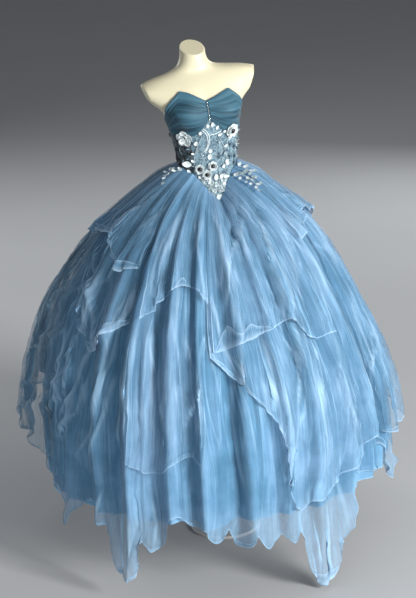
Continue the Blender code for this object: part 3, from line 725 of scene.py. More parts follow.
def makeLacePanels():
    # a darker copy of the lace is painted shade, for the left side
    lace, paintedShadeLace = laceMaterial("cordedLace", 1.0), laceMaterial("cordedLacePaintedShade", 0.30)
    for name, first, last, follows in laceSet["panels"]:
        columns = max(9, int((last - first) * laceSet["columnsPerDegree"]))
        angle = np.linspace(first, last, columns)[None, :]
        top, bottom = panelEnds(follows, halfTurn(angle))
        down = np.linspace(0.0, 1.0, laceSet["rows"])[:, None]
        height = top + down * (bottom - top)
        out = 0.0010 + 0.0006 * np.sin(np.radians(angle) * 31) * np.sin(height * 300)
        points = bodicePoint(angle + 0 * down, height, out)
        uv = np.stack([np.radians(angle + 0 * down) * 0.11, height], axis=-1)
        band = follows == "band"
        # the left side of the midriff takes the lace with painted shade
        cloth = bustTulle if band else paintedShadeLace if name == "midriffSideLeft" else lace
        # the band takes one flat level of the painted pleat shading
        values = {"paintedFoldShade": np.full(points.shape[:2], laceSet["bandPaintedFoldShade"])} if band else {}
        piece = gridSheet(name, points, uv, values, cloth)
        takePlace(piece, "bust_tulle" if band else "lace", nodeOf(name))
        area, tall = surfaceArea(points), float((top - bottom).max())
        wide = max(math.radians(last - first) * laceSet["flatReach"], area / tall * 1.02)
        wide, tall = round(wide + 0.0005, 3), round(tall + 0.0005, 3)


makeLacePanels()
print("lace bodice made")


# the skirt's lattice

skirtShape = {
    "levelDrop": 0.600,       # the first drop at which the skirt no longer follows the basque's point
    "seamGap": 0.0004,
    "seamOut": 0.0053,
    "firstGoreAngle": -135.0,
    "sway": 0.013,
    "hug": (78.0, 62.0, 0.010),   # angle, half width and depth of the flatter side
    "folds": ((0.155, 0.95), (0.120, 0.60), (0.165, 1.00), (0.135, 0.75), (0.115, 0.55), (0.170, 0.90), (0.140, 0.70)),
    "foldColumns": ((0.00, 1.00), (0.34, -0.10), (0.66, -1.00)),
    "rings": (
        # drop, radius, fold depth, lane room, lean to -X
        (0.000, 0.1120, 0.0000, 0.0021, 0.000), (0.040, 0.1860, 0.0015, 0.0028, 0.003),
        (0.110, 0.2730, 0.0050, 0.0040, 0.008), (0.220, 0.3760, 0.0100, 0.0055, 0.012),
        (0.380, 0.4770, 0.0160, 0.0070, 0.011), (0.600, 0.5770, 0.0210, 0.0080, 0.006),
        (0.880, 0.6450, 0.0240, 0.0090, 0.002), (1.198, 0.6600, 0.0260, 0.0100, 0.000),
        (1.340, 0.6520, 0.0220, 0.0100, 0.000), (1.520, 0.6420, 0.0180, 0.0100, 0.000),
    ),
}


def foldNodes():
    places, waves = [], []
    for gore in range(-1, 5):
        angle = skirtShape["firstGoreAngle"] + gore * 90.0
        for width, depth in skirtShape["folds"]:
            for share, wave in skirtShape["foldColumns"]:
                places.append(angle + share * width * 90.0)
                waves.append(wave * depth)
            angle += width * 90.0
    return np.array(places), np.array(waves)


foldPlaces, foldWaves = foldNodes()


def mainWave(angle):
    # the big folds, eased between their ridges and valleys
    wrapped = (angle - skirtShape["firstGoreAngle"]) % 360.0 + skirtShape["firstGoreAngle"]
    low = np.clip(np.searchsorted(foldPlaces, wrapped) - 1, 0, len(foldPlaces) - 2)
    share = (wrapped - foldPlaces[low]) / (foldPlaces[low + 1] - foldPlaces[low])
    return foldWaves[low] + ease(share) * (foldWaves[low + 1] - foldWaves[low])


paintedShadePatches = (
    # angle, drop, half width, half height, and how much painted shade (-) or painted light (+) darkens or lightens the
    # colour there
    (-62, 0.20, 26, 0.17, -0.17), (-22, 0.33, 9, 0.20, -0.15), (-41, 0.94, 9, 0.26, 0.19), (-2, 0.72, 6, 0.32, -0.18),
    (4, 0.96, 5, 0.17, 0.21), (17, 1.01, 8, 0.11, 0.11), (36, 0.46, 22, 0.24, -0.13), (62, 0.76, 16, 0.26, -0.17),
    (16, 0.66, 8, 0.20, -0.08), (-88, 0.95, 13, 0.15, -0.15), (-66, 1.04, 7, 0.09, 0.10), (-92, 0.45, 12, 0.20, -0.12),
    (3, 0.90, 4, 0.10, 0.09), (-39, 1.06, 6, 0.12, 0.17), (-30, 0.06, 22, 0.06, -0.20), (-14, 1.00, 5, 0.14, -0.12),
    (-29, 0.66, 6, 0.12, 0.12), (-76, 0.30, 9, 0.12, -0.08), (6, 0.70, 5, 0.10, 0.09), (52, 1.02, 9, 0.14, -0.15),
    (104, 0.86, 12, 0.24, 0.13), (132, 0.36, 20, 0.20, -0.13), (165, 0.92, 9, 0.28, 0.14),
    (-156, 0.68, 10, 0.28, -0.14), (-124, 1.02, 12, 0.20, 0.12), (148, 0.80, 7, 0.22, -0.12),
    (-178, 0.42, 12, 0.18, -0.10), (-138, 0.38, 14, 0.18, 0.08),
)


# painted shade and painted light from the patches, fading softly at their sides
def paintedShadeAt(angle, drop):
    total = 0.0
    for middle, low, halfWidth, halfHeight, change in paintedShadePatches:
        total = total + change * np.exp(-(halfTurn(angle - middle) / halfWidth) ** 2 - ((drop - low) / halfHeight) ** 2)
    return total


mainCreases = (
    # rows (angle, drop) from the top down, half width, depth; a ridge has a negative depth
    (((-57, 0.03), (-54, 0.08), (-50, 0.15), (-45, 0.28)), 0.012, 0.016),
    (((-49, 0.34), (-53, 0.52), (-50, 0.75), (-51, 1.08)), 0.017, 0.024),
    (((-52, 0.56), (-55, 0.67), (-58, 0.76), (-65, 1.04)), 0.014, 0.018),
    (((-40, 0.38), (-37, 0.52), (-36, 0.70), (-31, 0.98)), 0.015, 0.024),
    (((-44, 0.01), (-39, 0.08), (-36, 0.16)), 0.009, 0.011),
    (((-27, 0.02), (-26, 0.09), (-28, 0.24)), 0.010, 0.014),
    (((-20, 0.33), (-20, 0.51), (-20, 0.72), (-21, 0.98)), 0.017, 0.020),
    (((29, 0.03), (12, 0.07), (-1, 0.18), (-6, 0.29), (-11, 0.50)), 0.013, 0.020),
    (((3, 0.02), (-3, 0.11), (-3, 0.20)), 0.010, 0.012),
    (((40, 0.02), (21, 0.17), (19, 0.37), (16, 0.54), (13, 0.70), (9, 0.91), (6, 1.18)), 0.014, 0.024),
    (((33, 0.06), (25, 0.14), (24, 0.36), (20, 0.57)), 0.010, 0.014),
    (((46, 0.04), (41, 0.14), (44, 0.27)), 0.011, 0.014),
    (((33, 0.03), (14, 0.15), (9, 0.27)), 0.011, 0.011),
    (((-6, 0.55), (-9, 0.73), (-10, 1.07)), 0.019, 0.022),
    (((22, 0.76), (23, 0.87), (24, 1.02)), 0.010, 0.014),
    (((16, 0.72), (15, 0.85), (13, 1.00)), 0.009, 0.012),
    (((33, 0.60), (34, 0.80), (33, 1.05)), 0.012, 0.016),
    (((38, 0.54), (40, 0.70), (41, 0.84)), 0.010, 0.014),
    (((43, 0.38), (41, 0.51), (37, 0.64)), 0.009, 0.011),
    (((52, 0.10), (55, 0.30), (51, 0.60), (49, 0.98)), 0.012, 0.015),
    (((62, 0.30), (60, 0.60), (58, 1.00)), 0.012, 0.015),
    (((-68, 0.06), (-72, 0.13), (-68, 0.26)), 0.011, 0.014),
    (((-68, 0.26), (-70, 0.40), (-74, 0.53), (-82, 0.72)), 0.011, 0.015),
    (((-80, 0.32), (-84, 0.46), (-94, 0.60)), 0.011, 0.014),
    (((-68, 0.62), (-70, 0.74), (-78, 0.91), (-86, 1.08)), 0.013, 0.017),
    (((-64, 0.54), (-66, 0.67), (-70, 0.94)), 0.011, 0.014),
    (((-56, 0.44), (-55, 0.56), (-60, 0.79)), 0.010, 0.013),
    (((-82, 0.72), (-92, 1.02)), 0.012, 0.014),
    (((-19, 0.05), (-16, 0.19), (-17, 0.34)), 0.010, 0.012),
    (((-30, 0.58), (-28, 0.80), (-27, 1.05)), 0.011, 0.013),
    (((-44, 0.62), (-43, 0.90), (-43, 1.20)), 0.012, 0.014),
    (((-3, 0.86), (-2, 1.05), (-3, 1.28)), 0.012, 0.014),
    (((-51, 1.10), (-51, 1.30), (-48, 1.46)), 0.010, 0.016),
    (((-42, 1.08), (-43, 1.27), (-46, 1.44)), 0.010, 0.016),
    (((-33, 1.12), (-39, 1.28)), 0.009, 0.012),
    (((26, 1.08), (22, 1.34), (19, 1.48)), 0.010, 0.016),
    (((14, 1.18), (15, 1.38), (17, 1.49)), 0.010, 0.014),
    (((-41, 0.40), (-39, 0.70), (-38, 0.92)), 0.008, -0.012),
    (((-15, 0.54), (-16, 0.73), (-17, 1.00)), 0.022, -0.012),
    (((-20, 0.04), (-9, 0.08), (-9, 0.29), (-10, 0.46)), 0.010, -0.010),
)
foldEdges = (
    # rows (angle, drop) from the top down and the height of a fold that stops at a crisp edge; + faces +X, - faces -X
    (((-71, 0.29), (-71, 0.46), (-66, 0.59)), -0.009), (((-51, 0.35), (-54, 0.48), (-67, 0.61)), 0.010),
    (((-68, 0.61), (-68, 0.72), (-73, 0.87)), -0.011), (((-53, 0.47), (-55, 0.67), (-58, 0.82)), -0.010),
    (((-46, 0.47), (-48, 0.66), (-50, 0.94)), -0.012), (((-39, 0.45), (-38, 0.65), (-37, 0.88)), 0.008),
    (((-35, 0.57), (-35, 0.70), (-31, 0.87)), -0.008), (((-27, 0.46), (-22, 0.64), (-20, 0.69)), -0.009),
    (((-12, 0.46), (-17, 0.51), (-20, 0.64), (-28, 0.84)), 0.010), (((-14, 0.03), (-7, 0.12), (-8, 0.24)), 0.007),
    (((-22, 0.32), (-16, 0.37), (-12, 0.46)), 0.007), (((22, 0.05), (0, 0.18), (-10, 0.40)), -0.009),
    (((27, 0.09), (21, 0.22), (21, 0.40), (16, 0.51)), 0.009), (((38, 0.10), (35, 0.22), (29, 0.38)), 0.008),
    (((56, 0.15), (54, 0.29), (54, 0.42)), 0.008), (((70, 0.18), (68, 0.32), (68, 0.43)), 0.010),
    (((58, 0.58), (58, 0.72), (46, 0.88)), 0.009), (((44, 0.77), (37, 0.84), (34, 0.96)), -0.008),
    (((17, 0.54), (12, 0.77), (6, 1.00)), 0.009), (((27, 0.56), (21, 0.79), (20, 1.04)), -0.009),
    (((32, 0.70), (32, 0.87), (41, 0.99)), -0.008), (((-84, 0.50), (-80, 0.70), (-90, 0.96)), -0.012),
    (((-76, 0.60), (-80, 0.80), (-78, 1.00)), 0.012), (((-60, 0.04), (-70, 0.12), (-84, 0.24)), -0.007),
    (((-45, 0.05), (-52, 0.12), (-60, 0.22)), -0.006), (((48, 0.04), (60, 0.10), (76, 0.18)), 0.007),
    (((-69, 0.65), (-79, 0.75), (-93, 0.88), (-108, 1.02)), -0.015), (((-69, 0.72), (-70, 0.85), (-83, 1.01)), 0.014),
    (((-55, 0.62), (-57, 0.74), (-59, 0.89), (-64, 1.03)), -0.013), (((-80, 0.31), (-90, 0.44), (-109, 0.62)), -0.015),
    (((-78, 0.17), (-82, 0.29)), 0.008), (((-74, 0.12), (-72, 0.23)), -0.007),
    (((-19, 0.05), (-20, 0.15), (-25, 0.25)), -0.008), (((-37, 0.06), (-37, 0.15), (-35, 0.25)), 0.008),
    (((41, 0.06), (43, 0.19), (44, 0.34), (43, 0.48)), 0.008), (((29, 0.06), (23, 0.19), (16, 0.32)), -0.008),
    (((-6, 0.54), (-9, 0.70), (-9, 0.92), (-7, 1.10)), 0.010), (((4, 0.49), (3, 0.64), (1, 0.82)), -0.008),
    (((-90, 0.22), (-67, 0.50), (-65, 0.61)), 0.014), (((-51, 0.32), (-53, 0.48), (-66, 0.61), (-68, 0.72)), -0.014),
    (((-71, 0.37), (-70, 0.52), (-84, 0.72), (-110, 0.93)), 0.016), (((-78, 0.41), (-92, 0.63), (-110, 0.82)), -0.016),
    (((-64, 0.66), (-67, 0.81), (-80, 1.00)), 0.014), (((-51, 0.63), (-54, 0.80), (-64, 1.09)), -0.013),
    (((-68, 0.75), (-75, 0.88), (-83, 1.01)), 0.013), (((-69, 0.25), (-67, 0.35), (-76, 0.41)), -0.010),
    (((-78, 0.56), (-73, 0.70), (-95, 0.97)), 0.016), (((-56, 0.60), (-57, 0.76), (-69, 1.03)), 0.014),
    (((-45, 0.50), (-46, 0.67), (-51, 0.94)), -0.010), (((-110, 0.31), (-95, 0.44), (-110, 0.67)), 0.012),
    (((-49, 1.16), (-50, 1.30), (-51, 1.42)), 0.010), (((-45, 1.14), (-44, 1.29), (-43, 1.41)), -0.010),
    (((-38, 1.08), (-36, 1.22), (-34, 1.31)), 0.009), (((-54, 1.06), (-57, 1.17), (-59, 1.26)), -0.009),
    (((15, 1.14), (14, 1.30), (14, 1.46)), 0.010), (((19.5, 1.12), (20, 1.30), (21, 1.46)), -0.010),
    (((25, 1.06), (29, 1.22), (31, 1.36)), 0.009), (((12, 1.10), (9, 1.24), (7, 1.38)), -0.009),
    (((-96, 0.60), (-98, 0.80), (-94, 1.00)), 0.012), (((-104, 0.40), (-106, 0.60), (-100, 0.80)), -0.010),
)
otherFolds = {"count": 74, "seed": 29, "lean": 9.0, "low": 0.003, "high": 0.008}
otherCreases = {
    "hidden": (64.0, 258.0, 4.6),        # first angle, last angle and step of the creases at the side and back
    "starts": (0.02, 0.05, 0.30, 0.55),
    "fine": 150,
    "seed": 11,
}


def spreadKnots(angle, start, length, lean, shares, wander=lambda: 0.0):
    return tuple((angle + wander() + lean * share, start + length * share) for share in shares)


def spreadCreases():
    # the sides and back get creases like the front's, and finer ones lie between them all round
    rng = np.random.default_rng(otherCreases["seed"])
    rows = []
    for angle in np.arange(*otherCreases["hidden"]):
        start, length, lean = rng.choice(otherCreases["starts"]), rng.uniform(0.30, 0.95), rng.uniform(-7, 7)
        knots = spreadKnots(angle, start, length, lean, (0, 0.33, 0.66, 1.0), lambda: rng.uniform(-1.2, 1.2))
        rows.append((knots, rng.uniform(0.009, 0.016), rng.uniform(0.010, 0.024)))
    for number in range(otherCreases["fine"]):
        angle = 360.0 * (number + rng.uniform(-0.3, 0.3)) / otherCreases["fine"]
        start, length, lean = rng.uniform(0.0, 0.75), rng.uniform(0.20, 0.70), rng.uniform(-4, 4)
        knots = spreadKnots(angle, start, length, lean, (0, 0.5, 1.0))
        rows.append((knots, rng.uniform(0.005, 0.009), rng.uniform(0.004, 0.009)))
    return mainCreases + tuple(rows)


def spreadFolds():
    rng = np.random.default_rng(otherFolds["seed"])
    rows = []
    for number in range(otherFolds["count"]):
        angle = 360.0 * (number + rng.uniform(-0.4, 0.4)) / otherFolds["count"]
        start, length = rng.uniform(0.02, 0.75), rng.uniform(0.15, 0.45)
        lean, bend = rng.uniform(-1, 1, 2) * otherFolds["lean"]
        knots = tuple((angle + lean * t + bend * t * (1 - t), start + length * t) for t in (0, 0.5, 1.0))
        rows.append((knots, rng.choice((-1.0, 1.0)) * rng.uniform(otherFolds["low"], otherFolds["high"])))
    return foldEdges + tuple(rows)


creases = spreadCreases()
folds = spreadFolds()


def nearRows(table, angle, margin):
    # the folds that start over a sheet or within a margin beside it
    middle, half = halfTurn((angle.min() + angle.max()) / 2), (angle.max() - angle.min()) / 2
    return [row for row in table if abs(halfTurn(row[0][0][0] - middle)) <= half + margin]


def foldLift(angle, drop, reach):
    # each fold swells and then stops at a crisp edge; the second value marks that edge
    lift, line = np.zeros_like(drop), np.zeros_like(drop)
    for knots, height in nearRows(folds, angle, 26.0):
        rows = tuple((at, place) for place, at in knots)
        place = smoothRead(rows, 1, drop)
        slant = np.radians(smoothRead(rows, 1, drop + 0.01) - place) * reach / 0.01
        across = -math.copysign(1.0, height) * np.radians(halfTurn(angle - place)) * reach / np.sqrt(1 + slant * slant)
        ends = ease((drop - rows[0][0]) / 0.08) * ease((rows[-1][0] - drop) / 0.08)
        lift += abs(height) * ends * np.where(across > 0, np.exp(-across / 0.030), np.exp(-(across / 0.009) ** 2))
        line += ends * np.exp(-(across / 0.0042) ** 2)
    return lift, np.clip(line, 0, 1)


def creaseLift(angle, drop, reach):
    lift = np.zeros_like(drop)
    for knots, halfWidth, depth in nearRows(creases, angle, 16.0):
        rows = tuple((at, place) for place, at in knots)
        across = np.radians(halfTurn(angle - smoothRead(rows, 1, drop))) * reach / (1.15 * halfWidth)
        top, bottom = rows[0][0], rows[-1][0]
        ends = ease((drop - top + 0.02) / 0.07) * ease((bottom - drop) / 0.12)
        lift -= sheetShape["creaseDepth"] * depth * ends * np.exp(-across * across)
    return lift


def skirtPoint(angle, drop, lane, extra):
    angle, drop, extra = np.broadcast_arrays(*(np.asarray(value, float) for value in (angle, drop, extra)))
    seam, level = seamDrop(angle), skirtShape["levelDrop"]
    lowered = np.where(drop < level, seam + skirtShape["seamGap"] + drop * (level - seam) / level, drop)
    rings = skirtShape["rings"]
    radius = smoothRead(rings, 1, drop)
    seamRadius = bodyRadius(angle, -seam) + skirtShape["seamOut"]
    radius = radius + (seamRadius - rings[0][1]) * np.clip(1.0 - drop / rings[1][0], 0, 1)
    slope = (smoothRead(rings, 1, drop + 0.02) - smoothRead(rings, 1, drop - 0.02)) / 0.04
    hugAngle, hugHalf, hugDepth = skirtShape["hug"]
    radius = radius - hugDepth * ease(drop / 0.25) * ease(1.5 - 1.5 * np.abs(halfTurn(angle - hugAngle)) / hugHalf)
    out = outDirection(angle)
    normal = out.copy()
    normal[..., 2] = slope
    middle = out * radius[..., None]
    middle[..., 0] -= smoothRead(rings, 4, drop) + skirtShape["sway"] * ease(drop / 0.6)
    middle[..., 2] = bodyShape["waistHeight"] - lowered
    lift = lane * smoothRead(rings, 3, drop) + smoothRead(rings, 2, drop) * mainWave(angle) + extra
    return middle + unit(normal) * lift[..., None]


def seamBased(angle, drop):
    seam, level = seamDrop(angle), skirtShape["levelDrop"]
    return np.where(drop >= level, drop, (drop - seam) * level / (level - seam))


# the tulle sheets

tulleSheets = {"underskirt" + side: {"lane": 0, "net": "liningNet", "ruffle": 0.0, "away": ((0, 0), (1.52, 0)),
                                     "hem": ((start, 1.198, 0.002), (start + 90, 1.198, 0.002))}
               for side, start in (("Left", -135), ("Front", -45), ("Right", 45), ("Back", 135))}
tulleSheets.update({
    # lane counts the layers outwards and ruffle is how far the free cloth ripples; away gives drops with how far the
    # cloth stands off there, and hem the lower edge's angles and drops with the width that is turned back
    # some sheets have a wilder stretch (first angle, last angle, times), a side within rest degrees that lies back on
    # the skirt, or their own rows, folds (times), crumple (times), grow (how late the ripple starts), soft (how flat
    # the folds look), edge and hemShade (how pale the folds' edges and the hem are)
    "pointsFrontLeft": {
        "lane": 1, "net": "pointNet", "ruffle": 0.014, "wild": (-110, -64, 2.4), "folds": 1.25, "soft": 0.56,
        "edge": 0.6, "rows": 112, "away": ((1.198, 0), (1.52, 0.055)),
        "hem": ((-110, 1.160, 0.002), (-98, 1.150, 0.003), (-90, 1.180, 0.030), (-81, 1.215, 0.045),
                (-76, 1.240, 0.020), (-72, 1.262, 0.006), (-69, 1.195, 0.010), (-61, 1.185, 0.020),
                (-57, 1.232, 0.014), (-54, 1.256, 0.004), (-52.5, 1.330, 0.004), (-51, 1.402, 0.020),
                (-48.5, 1.428, 0.045), (-45, 1.430, 0.045), (-43, 1.388, 0.020), (-42, 1.315, 0.004),
                (-37, 1.312, 0.014), (-34.5, 1.285, 0.002), (-32, 1.190, 0.002), (-29, 1.165, 0.002),
                (-25, 1.200, 0.012), (-20, 1.208, 0.003))},
    "pointsFrontRight": {
        "lane": 1, "net": "pointNet", "ruffle": 0.020, "edge": 0.45, "wild": (42, 70, 2.6),
        "away": ((1.198, 0), (1.52, 0.055)),
        "hem": ((-20, 1.208, 0.003), (-17, 1.258, 0.012), (-13, 1.222, 0.003), (-9, 1.285, 0.014),
                (-4.5, 1.246, 0.003), (-1, 1.300, 0.012), (4, 1.262, 0.003), (7.5, 1.302, 0.010),
                (10, 1.270, 0.002), (12.5, 1.400, 0.006), (15, 1.475, 0.036), (18.5, 1.492, 0.045),
                (21.5, 1.440, 0.016), (25, 1.370, 0.014), (28.5, 1.350, 0.012), (30.5, 1.270, 0.002),
                (32, 1.190, 0.002), (40, 1.165, 0.002), (50, 1.140, 0.014), (57, 1.100, 0.030), (63, 1.190, 0.012),
                (66, 1.270, 0.020), (70, 1.173, 0.002))},
    "pointsBackRight": {
        "lane": 1, "net": "pointNet", "ruffle": 0.014, "wild": (70, 104, 2.6), "away": ((1.198, 0), (1.52, 0.055)),
        "hem": ((70, 1.173, 0.002), (76, 1.090, 0.020), (83, 1.230, 0.006), (92, 1.150, 0.020), (102, 1.220, 0.012),
                (118, 1.220, 0.002), (127, 1.350, 0.015), (132, 1.460, 0.040), (138, 1.340, 0.015),
                (147, 1.210, 0.002), (160, 1.199, 0.002))},
    "pointsBackLeft": {
        "lane": 1, "net": "pointNet", "ruffle": 0.014, "away": ((1.198, 0), (1.52, 0.055)),
        "hem": ((160, 1.199, 0.002), (170, 1.190, 0.020), (188, 1.240, 0.002), (201, 1.330, 0.015),
                (206, 1.455, 0.040), (212, 1.350, 0.015), (222, 1.230, 0.002), (236, 1.190, 0.025),
                (250, 1.160, 0.002))},
    "drapeLeftOuter": {
        "lane": 2, "net": "sheerNet", "ruffle": 0.062, "grow": 0.5, "rows": 84, "rest": 16.0,
        "away": ((0.30, 0), (0.50, 0.040), (0.75, 0.046), (0.96, 0.062), (1.12, 0.075)),
        "hem": ((-136, 0.86, 0.002), (-118, 0.97, 0.012), (-104, 1.03, 0.018), (-96, 1.05, 0.012),
                (-86, 1.10, 0.003))},
    "drapeLeftFront": {
        "lane": 2, "net": "drapeNet", "ruffle": 0.012, "rows": 84, "away": ((0.36, 0), (0.60, 0.002)),
        "hem": ((-82, 0.36, 0.002), (-74, 0.48, 0.003), (-65, 0.61, 0.045), (-56, 0.52, 0.045), (-47, 0.46, 0.002))},
    "drapeCentreLong": {
        "lane": 2, "net": "drapeNet", "ruffle": 0.008, "hemShade": 0.55, "away": ((0.50, 0), (0.98, 0.008)),
        "hem": ((-44, 0.98, 0.002), (-34, 0.99, 0.003), (-30, 0.96, 0.018), (-25, 0.94, 0.040), (-20, 0.95, 0.006))},
    "drapeCascade": {
        "lane": 2, "net": "drapeNet", "ruffle": 0.006, "wild": (-12, 14, 0.12), "soft": 0.74,
        "away": ((0.62, 0), (1.10, 0.003)),
        "hem": ((-17, 0.58, 0.004), (-12, 0.64, 0.034), (-5, 0.73, 0.024), (4, 0.91, 0.018), (8, 1.10, 0.003),
                (11, 1.168, 0.006), (15, 1.165, 0.010), (23, 1.125, 0.002), (34, 1.08, 0.016), (46, 1.02, 0.003))},
    "drapeRightOuter": {
        "lane": 2, "net": "drapeNet", "ruffle": 0.026, "grow": 0.8, "crumple": 1.4,
        "away": ((0.56, 0), (1.05, 0.025)),
        "hem": ((50, 1.02, 0.002), (58, 1.06, 0.030), (70, 1.05, 0.003), (84, 0.94, 0.030), (104, 0.84, 0.002))},
    "drapeBackRightLong": {
        "lane": 2, "net": "drapeNet", "ruffle": 0.020, "away": ((0.62, 0), (1.05, 0.016)),
        "hem": ((112, 0.78, 0.002), (126, 0.96, 0.025), (138, 1.06, 0.030), (152, 0.90, 0.003), (166, 0.78, 0.002))},
    "drapeBackLeftLong": {
        "lane": 2, "net": "drapeNet", "ruffle": 0.020, "away": ((0.62, 0), (1.05, 0.016)),
        "hem": ((172, 0.80, 0.002), (186, 0.94, 0.003), (198, 1.04, 0.030), (212, 0.88, 0.025), (220, 0.80, 0.002))},
    "drapeLeftUpper": {
        "lane": 3, "net": "sheerNet", "ruffle": 0.046, "grow": 0.6, "away": ((0.11, 0), (0.38, 0.018), (0.52, 0.026)),
        "hem": ((-142, 0.40, 0.002), (-128, 0.48, 0.003), (-114, 0.52, 0.030), (-106, 0.46, 0.015))},
    "drapeLeftHip": {
        "lane": 3, "net": "drapeNet", "ruffle": 0.024, "away": ((0.11, 0), (0.33, 0.018)),
        "hem": ((-102, 0.26, 0.002), (-90, 0.25, 0.015), (-76, 0.22, 0.035), (-66, 0.29, 0.020), (-58, 0.33, 0.040),
                (-46, 0.29, 0.003))},
    "drapeCentre": {
        "lane": 3, "net": "drapeNet", "ruffle": 0.012, "away": ((0.22, 0), (0.46, 0.002)),
        "hem": ((-44, 0.47, 0.003), (-38, 0.42, 0.002), (-31, 0.37, 0.004), (-28, 0.355, 0.034), (-24, 0.36, 0.004),
                (-20, 0.37, 0.002), (-16, 0.41, 0.002))},
    "drapeRightFront": {
        "lane": 3, "net": "drapeNet", "ruffle": 0.014, "away": ((0.28, 0), (0.58, 0.003)),
        "hem": ((-15, 0.575, 0.002), (-10, 0.560, 0.075), (-5, 0.550, 0.090), (3, 0.530, 0.040), (8, 0.52, 0.004),
                (14, 0.50, 0.003), (17, 0.50, 0.016), (22, 0.55, 0.002), (37, 0.58, 0.003))},
    "drapeRightFlare": {
        "lane": 3, "net": "drapeNet", "ruffle": 0.022, "away": ((0.08, 0), (0.24, 0.002)),
        "hem": ((42, 0.28, 0.002), (54, 0.23, 0.010), (62, 0.20, 0.016), (78, 0.24, 0.003), (96, 0.28, 0.002))},
    "drapeBackRightShort": {
        "lane": 3, "net": "drapeNet", "ruffle": 0.020, "away": ((0.20, 0), (0.54, 0.022)),
        "hem": ((104, 0.34, 0.002), (118, 0.44, 0.025), (132, 0.54, 0.030), (148, 0.44, 0.003), (160, 0.38, 0.002))},
    "drapeBackLeftShort": {
        "lane": 3, "net": "drapeNet", "ruffle": 0.020, "away": ((0.20, 0), (0.54, 0.022)),
        "hem": ((166, 0.38, 0.002), (180, 0.46, 0.003), (194, 0.52, 0.030), (206, 0.42, 0.025), (214, 0.36, 0.002))},
})


sheetShape = {
    # one value for each lane
    "perDegree": (2.8, 4.2, 4.6, 4.6),   # columns
    "rows": (44, 58, 50, 40),
    "ownFold": (0.0028, 0.0040, 0.0055, 0.0060),
    "foldShare": (0.4, 0.7, 1.0, 1.0),
    "foldEdge": (0.05, 0.25, 0.52, 0.52),
    "softness": (0.82, 0.76, 0.60, 0.60),      # net passes light on, so a fold's shading is softer than its shape
    "crumple": (0.0, 0.0035, 0.0042, 0.0046),
    # and one value for all
    "laneSpread": 1.35,
    "pinch": 0.0042,       # how far the sides of a fold lean over it
    "mostLean": 0.014,
    "creaseDepth": 0.50,
    "gather": 0.0030,
    "gatherDrops": (0.0, 0.05, 0.18, 0.45, 0.9, 1.5),
    "gatherShares": (0.25, 0.8, 1.0, 0.75, 0.40, 0.35),
    "hemNoise": 0.012,
    "liningNoise": 1.5,
    "wrapWidth": 0.66,     # metres of cloth to a radian, for the gathers
    "rippleWidth": 0.016,
    "relief": 0.012,       # fold height that takes the painted fold shading from a fold's side to its ridge
    "mostSteep": 5.0,
    "turned": (0.0012, 0.08),
    # the rows at the hem, from the outer side round the edge and up the turned part
    "edgeRise": (0.0028, 0.0),
    "turnedShare": (0.25, 0.6, 0.9, 1.0),
    "turnedOut": (0.0016, 0.0026, 0.0030, 0.0026),
    "edgeLine": (0.8, 1.0, 0.5, 0.0, 0.5, 0.9),
}
tips = ((-46.5, 12.0), (18.0, 11.0), (132.0, 11.0), (206.0, 11.0))  # angle of each long point and its half width
tipDrop = 1.15


def tipShare(angle, drop, reach, length):
    # for each long point the offset from its middle, and how much a place belongs to it
    for tip, half in tips:
        off = halfTurn(angle - tip)
        yield off, ease((drop - tipDrop) / length) * ease((half * reach - np.abs(off)) / half)


def foldAngle(angle, drop):
    # in a long point the folds run together
    return angle + sum(off * 0.9 * share for off, share in tipShare(angle, drop, 1.4, 0.32))


def column(values):
    return np.array(values)[:, None]


def hemRows(hemAt, turned, rows):
    # the drop of each row down the sheet, round its lower edge and back up the turned part, with how far the turned
    # part stands off and how pale the edge is
    mainDrop = np.linspace(0.0, 1.0, rows)[:, None] ** 0.9 * (hemAt - 0.006)
    nearHem = hemAt - column(sheetShape["edgeRise"])
    backDrop = hemAt - column(sheetShape["turnedShare"]) * turned
    backOut = column(sheetShape["turnedOut"]) * np.minimum(turned / 0.008, 1.0)
    outer = np.concatenate([0 * mainDrop, 0 * nearHem, backOut])
    hemLine = column([0.0] * rows + list(sheetShape["edgeLine"])) + 0 * outer
    return np.concatenate([mainDrop, nearHem, backDrop]), outer, hemLine


